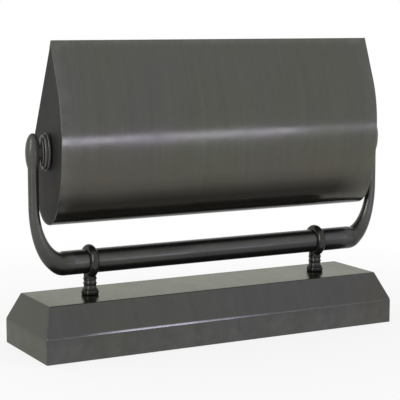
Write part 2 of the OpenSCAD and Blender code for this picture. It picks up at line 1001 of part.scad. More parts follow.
module lamp_cap() {
    r = lampcap_r;
    root = r - crest - thread_h;
    bore = root - cap_floor;
    roll = (pitch - cap_skin) / 3;
    color(steel)
        on_lamp(lamp_u + tip_h)
            rotate_extrude()
                polygon(concat([[eye_r, 0], [cone_r, 0], [root, thread_u - lap]],
                    [for (i = [0 : rolls - 1]) let (z = thread_u + i * pitch)
                        each [[root, z], [r - crest, z + roll], [r - crest, z + 2 * roll],
                            [root, z + 3 * roll]]],
                    [[r, lampcap_l - skirt_l - lap], [r, lampcap_l], [r - cap_skin, lampcap_l],
                    [r - cap_skin, lampcap_l - skirt_l], [bore, lampcap_l - skirt_l - 2 * lap],
                    [bore, thread_u + lap], [cone_r - 2 * lap, cap_floor], [eye_r, cap_floor]]));
}

module lamp_contact() {
    shank = eye_r - 2 * seat_gap;
    color(brass)
        on_lamp(lamp_u)
            rotate_extrude()
                polygon([[0, 0], [tip_r, 0], [contact_r - cap_floor, tip_h / 3], [contact_r, tip_h],
                    [shank, tip_h], [shank, tip_h + cap_floor], [0, tip_h + cap_floor]]);
}

module lamp_stem() {
    rim = neck_r - glass_t - seat_gap;
    color([0.9, 0.92, 0.9])
        on_lamp(glass_u)
            difference() {
                rotate_extrude()
                    polygon([[0, seal_z], [rim, seal_z], [rim, 2 * seal_z], [flare_r, flare_z],
                        [rod_r, 2 * flare_z], [rod_r, rod_z], [rod_tip, rod_z + rod_tip], [0, rod_top]]);
                for (s = [-1, 1])
                    translate([0, s * lead_y, lead_z])
                        cylinder(d = lead_d + 2 * seat_gap, h = rod_top, $fn = 24);
            }
}

// One supporting lead of the filament: up from the stem at y, then across to the coil
module lead(y, up) {
    translate([0, y, lead_z])
        cylinder(d = lead_d, h = up + lead_d / 2 - lead_z, $fn = 24);
    translate([0, y, up])
        rotate([90, 0, 0])
            cylinder(d = lead_d, h = y + coil_y, $fn = 24);
}

module filament() {
    near = lead_z + lead_up;
    far = lamp_l - coil_end;
    color(steel)
        on_lamp(glass_u) {
            lead(lead_y, far);
            lead(-lead_y, near);
            translate([0, -coil_y, near - coil_d / 2])
                cylinder(d = coil_d, h = far - near + coil_d, $fn = 24);
        }
}

base_cover();
base_weight();
base_plate();
felt_pad();
plate_screws();
cord_bushing();
left_post();
right_post();
post_washers();
post_nuts();
ring_screws();
crossbar();
left_arm();
right_arm();
left_knob();
right_knob();
pivot_collars();
knob_screws();
shade_wrap();
left_cap();
right_cap();
pivot_plates();
left_stud();
right_stud();
cap_nuts();
socket_cap();
socket_body();
screw_shell();
centre_contact();
switch_key();
lamp_glass();
lamp_cap();
lamp_contact();
lamp_stem();
filament();
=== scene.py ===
import math

import bmesh
import bpy
from mathutils import Matrix, Quaternion, Vector


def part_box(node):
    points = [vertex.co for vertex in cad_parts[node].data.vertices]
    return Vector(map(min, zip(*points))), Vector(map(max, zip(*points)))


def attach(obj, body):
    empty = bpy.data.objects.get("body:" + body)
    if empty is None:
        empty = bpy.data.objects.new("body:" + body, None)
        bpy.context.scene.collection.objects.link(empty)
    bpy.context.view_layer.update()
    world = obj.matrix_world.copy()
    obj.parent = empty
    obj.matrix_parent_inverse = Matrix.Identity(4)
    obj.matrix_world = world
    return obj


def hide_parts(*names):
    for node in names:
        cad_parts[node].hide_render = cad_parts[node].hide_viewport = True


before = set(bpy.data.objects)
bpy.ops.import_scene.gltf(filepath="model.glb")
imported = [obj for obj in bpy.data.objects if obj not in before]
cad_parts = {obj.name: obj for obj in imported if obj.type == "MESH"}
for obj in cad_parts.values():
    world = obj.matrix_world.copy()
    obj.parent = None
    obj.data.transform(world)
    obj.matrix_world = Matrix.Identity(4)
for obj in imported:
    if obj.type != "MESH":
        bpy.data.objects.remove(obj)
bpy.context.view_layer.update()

MM = 0.001
WHITE = (1.0, 1.0, 1.0)

# Mesh work: edges above this angle stay crisp, distances of welded points and slivers, weight of large
# faces, corners that are straight enough to stay, and the most of a side that a round corner takes
SHARP = 32.0
WELD, SLIVER = 1e-4, 1e-5
FLAT_WEIGHT = 90
STRAIGHT, SIDE_SHARE = 88.0, 0.45

# Base: half sizes, heights, bevel, wall, soft edges, cord inlet and post holes
BASE_X, BASE_Y = 138.4, 38.2
RIM_Z, SIDE_Z, TOP_Z = 0.3, 17.6, 36.9
BEVEL_X, BEVEL_Y = 7.0, 11.4
WALL, INNER_EASE = 2.2, 1.0
LEDGE_SOFT, BROW_SOFT, CORNER_R = 1.5, 0.7, 0.9
INLET_Z, INLET_R, INLET_WALL = 9.6, 3.2, 1.35
STEM_HOLE_R = 4.0

# Felt, and the screws through it
FELT_VOXEL, PILE, PILE_BELOW = 0.75, 0.05, 0.5
HEAD_R, HEAD_H, HEAD_Z = 2.8, 1.2, 0.6
SLOT_W, SLOT_DEEP = 0.8, 0.6
SHANK_R, SHANK_L = 1.5, 10.6
BALLAST_X, BALLAST_Y = 58.0, -6.6

# Posts and crossbar
POST_X, POST_DX = 92.8, 2.4
BAR_Z, BAR_R = 60.2, 8.45
RING_MID, RING_R = 8.3, 3.4
BORE_R, RING_SCREW_R = 8.5, 1.55
YOKE_X = 7.3

# Arms, knobs and pivots
PIVOT_Z = 137.37
SHADE_HALF = 127.0
ARM_X = 138.37
SWEEP_X, SWEEP_Z = 21.4, 41.0
STUB, SEAM = 5.0, 0.03
ARM_R, ARM_LAP = 3.65, 2.0
BEND_EASE = 20.0
KNOB_R, KNOB_UP, KNOB_DROP, KNOB_LOW = 5.15, 13.0, 11.3, 15.14
PLATE_T, PLATE_W, PLATE_H = 4.9, 14.5, 26.0
NECK_T, NECK_W, NECK_H = 0.9, 10.5, 19.0
STEP_T, STEP_W, STEP_H = 1.8, 13.2, 24.2
COLLAR_FACE, COLLAR_T, COLLAR_W, COLLAR_H = 132.02, 1.0, 10.0, 19.5
HUB_FACE, HUB_R = 133.02, 4.5
PIN_IN, PIN_R = 1.2, 0.7
JOURNAL_END = 135.57

# Shade section about its middle, which is set from the pivots
SET_Y, SET_Z = 3.5, 10.2
SHADE_A, SHADE_LOW, SHADE_UP = 26.8, 60.77, 54.72
RIDGE = Vector((-9.4, 64.53))
LIP_ANGLE, FRONT_FILL, BACK_FILL = 6.4, 0.91, 0.87
SHEET_T, CAP_T, HEM_W = 1.0, 1.2, 5.0
CUT_SOFT, HEM_TIP, TIP_LEAN = 0.3, 0.35, 0.6
CAP_INSET, HEM_GAP = 1.06, 0.05
FLANGE_W, FLANGE_FROM, FLANGE_TO = 6.0, 6.0, 4.0

# Lampholder and lamp, counted from the inner face of the left cap
LAMP_X = YOKE_X - SHADE_HALF + CAP_T
HOLDER_U, HOLDER_R = 4.12, 17.0
BODY_U, BODY_L = 17.92, 32.0
LAMP_U = 28.94
LAMPCAP_R, LAMPCAP_L = 13.0, 22.5
GLASS_U, GLASS_T = 49.34, 0.9
NECK_R, LAMP_R, LAMP_L, DOME = 12.45, 15.5, 110.0, 0.7
KEY_U = 21.32

# Bronze colours: three clouds, worn edges and the painted highlight along the ledge
OLIVE, UMBER, VIOLET = (0.0935, 0.0965, 0.0835), (0.101, 0.0915, 0.0755), (0.0915, 0.0895, 0.0945)
WORN, LEDGE_HIGHLIGHT = (0.21, 0.205, 0.19), (0.44, 0.44, 0.50)
COOL = (0.98, 1.0, 1.06)

# Painted light by place: a painted highlight line on the front ledge, painted shade and painted highlights
# as tones at rising heights, where along X they fade out, and the warmer foot of the shade's front
LEDGE_LINE = {"height": 0.0176, "half": 0.0008, "front": -0.0375, "reach": (-0.118, -0.070, 0.045)}
ROLL_TONE = ((0.0886, 0.45), (0.0911, 0.70), (0.0946, 0.70), (0.0981, 0.22), (0.1021, 0.22), (0.1069, 0.46),
             (0.1116, 0.80), (0.1186, 1.0))
ARM_TONE = ((0.0520, 0.40), (0.0575, 0.48), (0.0620, 0.72), (0.0680, 0.85), (0.0780, 1.08), (0.0950, 1.12),
            (0.1150, 1.0))
BAR_TONE = ((0.0530, 0.60), (0.0570, 0.68), (0.0602, 0.92), (0.0618, 1.45), (0.0630, 1.35), (0.0655, 0.66),
            (0.0680, 0.65))
ROLL_FADE, NO_FADE = (0.0989, 0.1289), (1.0, 2.0)
WARM_FOOT = (0.120, 0.150, (1.02, 0.97, 0.90))

# Stage: the floor's half side, and where it turns from lit to plain white
FLOOR_HALF, FLOOR_LIT, FLOOR_WHITE = 6000.0, 0.16, 0.48
# World: white, dimmed overhead between two heights
DIM_FROM, DIM_TO, DIM_LEAST = 0.80, 0.93, 0.5
# Lights: place, aim, size and glow
STRIP_AT, STRIP_AIM, STRIP_TILT = (0.2159, -0.57, 0.0866), (-0.0091, -0.023, 0.1456), 4.0
STRIP_COLOR = (0.79, 0.755, 1.0)
STRIP_SIZE, STRIP_GLOW = (0.33, 0.013), 11.2
END_SIZE, END_GLOW, END_ALONG = (0.14, 0.013), 3.6, 0.235
TALL_AT, TALL_AIM, TALL_SIZE, TALL_GLOW = (-1.29, -0.76, 0.62), (0.0, 0.0, 0.12), (0.30, 1.0), 8.0
# Camera: place, angles in degrees, lens and sensor in millimetres
CAMERA_AT, CAMERA_PITCH, CAMERA_TURN = (-0.4610, -0.8455, 0.2256), 82.39, -28.41
CAMERA_LENS, CAMERA_SENSOR = 121.44, 36.0
CLIP_NEAR, CLIP_FAR = 0.05, 50.0


# Mesh helpers

def turned(place, r, h, angle):
    """A point at a radius, a height and an angle about the local Z of place."""
    return place @ Vector((r * math.cos(angle), r * math.sin(angle), h))


def circle(place, r, h, seg):
    """Points of a circle about the local Z of place."""
    return [turned(place, r, h, 2 * math.pi * k / seg) for k in range(seg)]


def skin(bm, rings, ends=True, closed=False):
    """Joins a row of equal rings of points into a tube, with flat ends or closed into a loop."""
    rows = [[bm.verts.new(p) for p in ring] for ring in rings]
    pairs = list(zip(rows, rows[1:]))
    if closed:
        pairs.append((rows[-1], rows[0]))
    for a, b in pairs:
        for k in range(len(a)):
            n = (k + 1) % len(a)
            bm.faces.new((a[k], a[n], b[n], b[k]))
    if ends:
        bm.faces.new(list(reversed(rows[0])))
        bm.faces.new(rows[-1])
    return rows


def lathe(bm, profile, place, seg, closed=False):
    """Turns a profile of (radius, height) about the local Z of place."""
    skin(bm, [circle(place, r, h, seg) for r, h in profile], ends=False, closed=closed)


def make(name, bm, sharp=SHARP):
    """An object in metres from a mesh drawn in millimetres, smooth but for edges sharper than the angle."""
    bmesh.ops.remove_doubles(bm, verts=bm.verts, dist=WELD)
    bmesh.ops.dissolve_degenerate(bm, edges=bm.edges, dist=SLIVER)
    bmesh.ops.recalc_face_normals(bm, faces=bm.faces)
    bmesh.ops.scale(bm, vec=(MM, MM, MM), verts=bm.verts)
    mesh = bpy.data.meshes.new(name)
    bm.to_mesh(mesh)
    bm.free()
    obj = bpy.data.objects.new(name, mesh)
    bpy.context.scene.collection.objects.link(obj)
    smooth(mesh, sharp)
    return obj


def smooth(mesh, sharp=SHARP):
    """Shades a mesh smooth but for edges sharper than the angle."""
    mesh.polygons.foreach_set("use_smooth", [True] * len(mesh.polygons))
    mesh.set_sharp_from_angle(angle=math.radians(sharp))


def settle(obj):
    """Applies an object's modifiers and gives back its new mesh."""
    graph = bpy.context.evaluated_depsgraph_get()
    mesh = bpy.data.meshes.new_from_object(obj.evaluated_get(graph))
    obj.modifiers.clear()
    old = obj.data
    obj.data = mesh
    mesh.name = obj.name
    bpy.data.meshes.remove(old)
    return mesh


def carve(obj, other, how="DIFFERENCE", sharp=SHARP):
    """Joins or cuts obj with another mesh, which is used up."""
    mod = obj.modifiers.new("carve", "BOOLEAN")
    mod.operation = how
    mod.solver = "EXACT"
    mod.object = other
    mesh = settle(obj)
    bpy.data.objects.remove(other)
    smooth(mesh, sharp)


def flatten(obj):
    """Keeps large faces flat beside small rounded edges."""
    mod = obj.modifiers.new("flat_faces", "WEIGHTED_NORMAL")
    mod.keep_sharp = True
    mod.weight = FLAT_WEIGHT


def drill(obj, start, end, r, seg=48):
    """A round hole from start to end."""
    start, end = Vector(start), Vector(end)
    turn = (end - start).to_track_quat("Z", "Y").to_matrix().to_4x4()
    length = (end - start).length
    bm = bmesh.new()
    lathe(bm, [(0, 0), (r, 0), (r, length), (0, length)], Matrix.Translation(start) @ turn, seg)
    carve(obj, make("drill", bm))


def arc(mid, r, first, last, steps):
    """Points of a circle in a profile, angles in degrees."""
    out = []
    for k in range(steps + 1):
        a = math.radians(first + (last - first) * k / steps)
        out.append((mid[0] + r * math.cos(a), mid[1] + r * math.sin(a)))
    return out


def oval_arc(w, h, angles):
    """Points of an oval with half sizes w and h, angles in degrees."""
    return [(w * math.cos(math.radians(a)), h * math.sin(math.radians(a))) for a in angles]


def rounded(points, r, steps=4):
    """An open profile whose inner corners are turned by arcs of radius r at most."""
    out = [points[0]]
    for before, here, after in zip(points, points[1:], points[2:]):
        p, a, b = Vector(here), Vector(before) - Vector(here), Vector(after) - Vector(here)
        half = a.angle(b) / 2 if a.length and b.length else math.pi / 2
        if half > math.radians(STRAIGHT):
            out.append(here)
            continue
        run = min(r / math.tan(half), SIDE_SHARE * a.length, SIDE_SHARE * b.length)
        rad = run * math.tan(half)
        a.normalize()
        b.normalize()
        mid = p + (a + b).normalized() * rad / math.sin(half)
        from_mid, to_mid = p + a * run - mid, p + b * run - mid
        sweep = from_mid.angle_signed(to_mid)
        for k in range(steps + 1):
            v = from_mid.copy()
            v.rotate(Matrix.Rotation(-sweep * k / steps, 2))
            out.append(tuple(mid + v))
    out.append(points[-1])
    return out


def along_x(x, z=PIVOT_Z, sign=1):
    """A place at x and z whose local Z runs along +X, or along -X."""
    return Matrix.Translation((x, 0, z)) @ Matrix.Rotation(sign * math.pi / 2, 4, "Y")


def dress(obj, materials, body, slot, *nodes):
    """Gives a piece its materials and its body, and hides the nodes that it stands for; slot is not used."""
    # Clearing an empty list would reset the faces' material numbers.
    if obj.data.materials:
        obj.data.materials.clear()
    for material in materials if isinstance(materials, tuple) else (materials,):
        obj.data.materials.append(material)
    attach(obj, body)
    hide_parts(*nodes)


# Materials

class Shader:
    """A material built from nodes, with short ways to add and join them."""

    def __init__(self, name):
        self.material = bpy.data.materials.new(name)
        self.material.use_nodes = True
        self.tree = self.material.node_tree
        self.bsdf = self.tree.nodes["Principled BSDF"]
        self.place = self.add("ShaderNodeTexCoord").outputs["Object"]

    def add(self, kind, inputs=(), **settings):
        """A new node with its settings and inputs."""
        node = self.tree.nodes.new(kind)
        for key, value in settings.items():
            setattr(node, key, value)
        for key, value in dict(inputs).items():
            self.put(node.inputs[key], value)
        return node

    def put(self, socket, value):
        """Links a socket to another one, or sets its value."""
        if isinstance(value, bpy.types.NodeSocket):
            self.tree.links.new(value, socket)
        else:
            socket.default_value = value

    def set(self, **values):
        """Sets inputs of the surface shader by name."""
        for key, value in values.items():
            self.put(self.bsdf.inputs[key.replace("_", " ")], value)

    def axis(self, name):
        """The X, Y or Z of the place on the object."""
        return self.add("ShaderNodeSeparateXYZ", {"Vector": self.place}).outputs[name]

    def noise(self, scale, detail=3.0, rough=0.55, stretch=None):
        """Cloudy noise, which may be stretched along an axis."""
        at = self.place
        if stretch:
            at = self.add("ShaderNodeMapping", {"Vector": at, "Scale": stretch}).outputs["Vector"]
        inputs = {"Vector": at, "Scale": scale, "Detail": detail, "Roughness": rough}
        return self.add("ShaderNodeTexNoise", inputs).outputs["Fac"]

    def span(self, value, low, high, start=0.3, end=0.7, smooth=False):
        """Low to high as the value goes from start to end."""
        node = self.add("ShaderNodeMapRange", {"Value": value, "From Min": start, "From Max": end,
                                               "To Min": low, "To Max": high})
        if smooth:
            node.interpolation_type = "SMOOTHSTEP"
        return node.outputs["Result"]

    def grey(self, value):
        inputs = dict.fromkeys(("Red", "Green", "Blue"), value)
        return self.add("ShaderNodeCombineColor", inputs).outputs["Color"]

    def mix(self, factor, a, b, blend="MIX"):
        """Two colours mixed by a factor."""
        node = self.add("ShaderNodeMix", data_type="RGBA", blend_type=blend)
        self.put(node.inputs["Factor"], factor)
        for socket, value in zip([s for s in node.inputs if s.type == "RGBA"], (a, b)):
            self.put(socket, value if isinstance(value, bpy.types.NodeSocket) else (*value, 1.0))
        return [s for s in node.outputs if s.type == "RGBA"][0]

    def times(self, a, b):
        return self.math("MULTIPLY", a, b)

    def math(self, how, a, b):
        node = self.add("ShaderNodeMath", operation=how)
        self.put(node.inputs[0], a)
        self.put(node.inputs[1], b)
        return node.outputs[0]

    def edges(self, low=0.51, high=0.56):
        """A mask of the outward edges."""
        point = self.add("ShaderNodeNewGeometry").outputs["Pointiness"]
        return self.span(point, 0.0, 1.0, low, high)

    def bump(self, height, strength, distance, normal=None):
        """A normal from a height, on top of another one."""
        node = self.add("ShaderNodeBump", {"Height": height, "Strength": strength, "Distance": distance})
        if normal:
            self.put(node.inputs["Normal"], normal)
        return node.outputs["Normal"]


def painted_highlight_line(s, height, half, front, reach):
    """A mask of a painted highlight line along X: height, half width, front, and where it starts, peaks and
    ends.
    """
    core, front_soft = 0.4 * half, 0.0004
    start, peak, end = reach
    away = s.add("ShaderNodeMath", operation="ABSOLUTE")
    s.put(away.inputs[0], s.math("SUBTRACT", s.axis("Z"), height))
    x = s.axis("X")
    mask = s.span(away.outputs[0], 1.0, 0.0, core, half)
    mask = s.times(mask, s.span(s.axis("Y"), 1.0, 0.0, front, front + front_soft))
    mask = s.times(mask, s.span(x, 0.0, 1.0, start, peak, smooth=True))
    mask = s.times(mask, s.span(x, 1.0, 0.0, peak, end, smooth=True))
    return s.times(mask, s.span(s.noise(90.0, 4.0), 0.6, 1.0))


def painted_light_tone(s, stops, fade):
    """Painted shade and painted highlights by height: pairs of height and tone, fading out between two
    places along X.
    """
    ragged, most_fade = 0.001, 0.75
    height = s.math("ADD", s.axis("Z"), s.span(s.noise(24.0, 4.0), -ragged, ragged))
    low, high = stops[0][0], stops[-1][0]
    ramp = s.add("ShaderNodeValToRGB", {"Fac": s.span(height, 0.0, 1.0, low, high)})
    marks = ramp.color_ramp.elements
    marks[0].color, marks[1].color = [(tone, tone, tone, 1.0) for tone in (stops[0][1], stops[-1][1])]
    for at, tone in stops[1:-1]:
        marks.new((at - low) / (high - low)).color = (tone, tone, tone, 1.0)
    tone = ramp.outputs["Color"]
    faded = s.span(s.axis("X"), 0.0, most_fade, *fade, smooth=True)
    return s.math("ADD", tone, s.times(faded, s.math("SUBTRACT", 1.0, tone)))


def bronze(name, tone, rough, streak, edge, metal=1.0, tint=WHITE, cast=WHITE, painted_light=None, warm=None,
           line=None):
    """Dark satin bronze: olive, umber and violet clouds, faint brush marks, specks, smudges, rubbed edges.

    streak stretches the brush marks; edge and cast are the strength and colour of flat reflections; metal
    is the share of bare metal, the rest is a matt patina. aged paints shade and highlights as tones at
    rising heights that fade out between two places along X; warm is two heights and the tint below them;
    line paints a highlight line along the ledge."""
    s = Shader(name)
    olive, umber, violet, worn = (
        tuple(tone * c * t for c, t in zip(color, tint)) for color in (OLIVE, UMBER, VIOLET, WORN))
    color = s.mix(s.span(s.noise(11.0, 4.0), 0.0, 0.8), olive, umber)
    color = s.mix(s.span(s.noise(15.0, 3.0, stretch=(1.0, 1.0, 0.6)), 0.0, 0.7), color, violet)
    brush = s.noise(1.0, 5.0, 0.6, stretch=streak)
    specks = s.span(s.noise(330.0, 4.0), 1.0, 0.90, 0.56, 0.72)
    shade = s.times(s.span(brush, 0.935, 1.065, 0.25, 0.75), specks)
    # Painted shade and painted highlights by height
    if painted_light:
        shade = s.times(shade, painted_light_tone(s, *painted_light))
    if warm:
        low, high, glow = warm
        color = s.mix(s.span(s.axis("Z"), 1.0, 0.0, low, high, smooth=True), color, glow, "MULTIPLY")
    color = s.mix(1.0, color, s.grey(shade), "MULTIPLY")
    color = s.mix(s.times(s.edges(), s.span(s.noise(120.0, 4.0), 0.05, 0.3)), color, worn)
    # Painted highlight: a bright lavender line along the front ledge
    if line:
        color = s.mix(painted_highlight_line(s, **line), color, LEDGE_HIGHLIGHT)
    s.set(Base_Color=color, Metallic=metal, Specular_Tint=tuple(edge * c for c in cast) + (1.0,))
    smudges = s.span(s.noise(95.0, 5.0), 0.0, 0.03, 0.5, 0.75)
    smudged = s.math("ADD", s.span(s.noise(38.0, 5.0), *rough), smudges)
    s.set(Roughness=s.math("ADD", smudged, s.span(brush, -0.015, 0.015)))
    grain = s.bump(s.noise(1900.0, 2.0), 0.10, 0.00004)
    s.set(Normal=s.bump(brush, 0.08, 0.00005, grain))
    return s.material


def plain_metal(name, color, dark, rough, grain=900.0):
    """Bare or plated metal with patchy tarnish, fine scratches and brighter edges."""
    s = Shader(name)
    stain = s.mix(s.span(s.noise(140.0, 5.0), 0.0, 1.0, 0.35, 0.75), color, dark)
    bright = tuple(min(1.0, 1.25 * c) for c in color)
    rubbed = s.times(s.edges(), s.span(s.noise(400.0, 3.0), 0.1, 0.4))
    s.set(Base_Color=s.mix(rubbed, stain, bright), Metallic=1.0)
    s.set(Roughness=s.span(s.noise(260.0, 5.0), *rough))
    s.set(Normal=s.bump(s.noise(grain, 4.0, 0.7), 0.2, 0.00004))
    return s.material


def moulded(name, color, pale, rough, bump):
    """Moulded plastic or rubber with a dusty bloom and a fine skin."""
    s = Shader(name)
    s.set(Base_Color=s.mix(s.span(s.noise(90.0, 5.0), 0.0, 0.7), color, pale))
    s.set(Roughness=s.span(s.noise(300.0, 4.0), *rough))
    s.set(Normal=s.bump(s.noise(1800.0, 3.0), bump, 0.00005))
    return s.material


def felted(name, deep, fluff, matted):
    """Felt: pale fibres on a deep ground, matted patches and a soft pile."""
    s = Shader(name)
    fibre = s.noise(1500.0, 6.0, 0.75)
    patches = s.span(s.noise(60.0, 4.0), 0.0, 0.4)
    color = s.mix(s.span(fibre, 0.0, 1.0), deep, fluff)
    s.set(Base_Color=s.mix(patches, color, matted), Roughness=0.95)
    s.set(Sheen_Weight=0.4, Sheen_Roughness=0.5)
    s.set(Normal=s.bump(fibre, 0.8, 0.0004))
    return s.material


def enamelled(name, clean, yellowed, dusty):
    """Stove enamel: faint yellowing, settled dust and a soft orange peel."""
    s = Shader(name)
    color = s.mix(s.span(s.noise(14.0, 4.0), 0.0, 0.6), clean, yellowed)
    dust = s.span(s.noise(260.0, 4.0), 0.0, 0.35, 0.55, 0.8)
    s.set(Base_Color=s.mix(dust, color, dusty))
    s.set(Roughness=s.span(s.noise(60.0, 4.0), 0.26, 0.42))
    s.set(Normal=s.bump(s.noise(420.0, 2.0), 0.12, 0.00008))
    return s.material


def glassy(name, clear, hazed, rough):
    """Clear lamp glass with faint handling marks."""
    s = Shader(name)
    s.set(Base_Color=s.mix(s.span(s.noise(60.0, 4.0), 0.0, 0.5), clear, hazed))
    s.set(Roughness=s.span(s.noise(180.0, 5.0), *rough), IOR=1.47, Transmission_Weight=1.0)
    s.set(Normal=s.bump(s.noise(45.0, 2.0), 0.05, 0.0001))
    return s.material


# One bronze paint in lit and shaded copies: each piece's tone is painted lighter or darker to stand in for
# light and shade, darkest on the end caps and the posts
BRONZE_SHADE = bronze("bronze_shade", 0.94, (0.13, 0.17), (420.0, 9.0, 9.0), 0.8, metal=0.88,
                      tint=(1.0, 1.03, 1.01), painted_light=(ROLL_TONE, ROLL_FADE), warm=WARM_FOOT)
BRONZE_CAP = bronze("bronze_cap", 0.42, (0.55, 0.62), (9.0, 300.0, 9.0), 0.5, metal=0.7)
BRONZE_BASE = bronze("bronze_base", 0.83, (0.20, 0.25), (300.0, 9.0, 9.0), 0.75, tint=(0.99, 1.01, 1.05),
                     cast=(1.0, 1.02, 0.92), line=LEDGE_LINE)
BRONZE_POST = bronze("bronze_post", 0.42, (0.12, 0.17), (30.0, 30.0, 700.0), 0.6, metal=0.8)
BRONZE_KNOB = bronze("bronze_knob", 0.72, (0.26, 0.32), (30.0, 30.0, 700.0), 0.7, metal=0.4)
BRONZE_PIVOT = bronze("bronze_pivot", 0.84, (0.20, 0.26), (700.0, 30.0, 30.0), 0.6, metal=0.6)
BRONZE_ARM = bronze("bronze_arm", 0.76, (0.24, 0.30), (9.0, 300.0, 300.0), 0.9, metal=0.8,
                    painted_light=(ARM_TONE, NO_FADE))
BRONZE_BAR = bronze("bronze_bar", 0.62, (0.20, 0.26), (9.0, 300.0, 300.0), 0.9, metal=0.85, tint=COOL,
                    painted_light=(BAR_TONE, NO_FADE))
ENAMEL = enamelled("white_enamel", (0.72, 0.71, 0.67), (0.66, 0.63, 0.56), (0.42, 0.40, 0.36))
ZINC = plain_metal("zinc_steel", (0.52, 0.53, 0.55), (0.36, 0.36, 0.35), (0.28, 0.45))
BLACKED = plain_metal("blacked_steel", (0.10, 0.10, 0.105), (0.05, 0.048, 0.045), (0.30, 0.48))
IRON = plain_metal("cast_iron", (0.10, 0.10, 0.105), (0.055, 0.05, 0.045), (0.55, 0.8), 500.0)
BRASS = plain_metal("brass", (0.62, 0.45, 0.20), (0.34, 0.23, 0.10), (0.26, 0.44))
ALUMINIUM = plain_metal("lamp_cap", (0.72, 0.72, 0.71), (0.50, 0.49, 0.47), (0.24, 0.38))
TUNGSTEN = plain_metal("filament_wire", (0.30, 0.30, 0.32), (0.18, 0.18, 0.19), (0.35, 0.5))
RUBBER = moulded("black_rubber", (0.018, 0.018, 0.019), (0.045, 0.044, 0.042), (0.55, 0.75), 0.25)
PHENOLIC = moulded("phenolic", (0.022, 0.018, 0.015), (0.050, 0.042, 0.036), (0.28, 0.45), 0.12)
FELT = felted("felt", (0.012, 0.030, 0.018), (0.035, 0.070, 0.045), (0.045, 0.075, 0.055))
GLASS = glassy("lamp_glass", (0.97, 0.98, 0.97), (0.90, 0.92, 0.90), (0.0, 0.06))


# Base

def rounded_rectangle(x, y, z, r, steps=6):
    """Ring of points of a rectangle with half sides x and y and rounded corners."""
    ring = []
    for first, sx, sy in ((180, -1, -1), (270, 1, -1), (0, 1, 1), (90, -1, 1)):
        for px, py in arc((sx * (x - r), sy * (y - r)), r, first, first + 90, steps):
            ring.append(Vector((px, py, z)))
    return ring


def soft_corner(before, corner, after, steps=7):
    """Points of a smooth turn from before to after that leans on corner."""
    out = []
    for k in range(steps + 1):
        t = k / steps
        out.append(before * (1 - t) ** 2 + corner * 2 * t * (1 - t) + after * t ** 2)
    return out


def base_shell():
    """Bevelled cover with softly rounded edges, hollow below, with the cord inlet and the post holes."""
    ledge, brow = Vector((0, 0, SIDE_Z)), Vector((BEVEL_X, BEVEL_Y, TOP_Z))
    slope = (brow - ledge).normalized()
    turns = [Vector((0, 0, RIM_Z))]
    turns += soft_corner(ledge - Vector((0, 0, LEDGE_SOFT)), ledge, ledge + slope * LEDGE_SOFT)
    turns += soft_corner(brow - slope * BROW_SOFT, brow, brow + Vector((BROW_SOFT, BROW_SOFT, 0)))
    outer = [rounded_rectangle(BASE_X - v.x, BASE_Y - v.y, v.z, CORNER_R) for v in turns]
    hollow = [(BEVEL_X - INNER_EASE, BEVEL_Y - INNER_EASE, TOP_Z - WALL)]
    hollow += [(0, 0, SIDE_Z - INNER_EASE), (0, 0, RIM_Z)]
    inner = [rounded_rectangle(BASE_X - WALL - dx, BASE_Y - WALL - dy, z, CORNER_R) for dx, dy, z in hollow]
    bm = bmesh.new()
    skin(bm, inner + outer)
    shell = make("base_shell", bm, sharp=50.0)
    inside, outside = BASE_Y - 8, BASE_Y + 5
    drill(shell, (0, inside, INLET_Z), (0, outside, INLET_Z), INLET_R + INLET_WALL)
    below, above = TOP_Z - 6, TOP_Z + 4
    for x in (POST_DX - POST_X, POST_DX + POST_X):
        drill(shell, (x, 0, below), (x, 0, above), STEM_HOLE_R)
    flatten(shell)
    dress(shell, BRONZE_BASE, "base", "bronze_paint", "base_cover")


def grommet():
    """Rubber bushing of the cord inlet: a domed flange, a neck in the wall and a snap lip inside."""
    r = INLET_R
    profile = rounded([(r, -3.6), (r + 2.1, -3.6), (r + INLET_WALL, -2.2), (r + 1.3, 0.0), (r + 2.9, 0.05),
                       (r + 2.7, 1.1), (r + 1.6, 1.6), (r, 1.6)], 0.5)
    bm = bmesh.new()
    place = Matrix.Translation((0, BASE_Y, INLET_Z)) @ Matrix.Rotation(-math.pi / 2, 4, "X")
    lathe(bm, profile, place, seg=72, closed=True)
    dress(make("inlet_grommet", bm), RUBBER, "base", "black_rubber", "cord_bushing")


def felt_sheet():
    """Felt pad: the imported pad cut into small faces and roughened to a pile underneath."""
    obj = bpy.data.objects.new("felt_sheet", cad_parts["felt_pad"].data.copy())
    bpy.context.scene.collection.objects.link(obj)
    remesh = obj.modifiers.new("remesh", "REMESH")
    remesh.mode = "VOXEL"
    remesh.voxel_size = FELT_VOXEL * MM
    mesh = settle(obj)
    for v in mesh.vertices:
        x, y = v.co.x / MM, v.co.y / MM
        pile = math.sin(x * 2.1 + 3 * math.sin(y * 0.9)) * math.sin(y * 2.4 + 2 * math.sin(x * 0.7))
        raised = PILE * MM * (1 + pile) if v.co.z < PILE_BELOW * MM else 0.0
        v.co.z = max(0.0, v.co.z + raised)
    smooth(mesh, sharp=60.0)
    dress(obj, FELT, "base", "felt", "felt_pad")


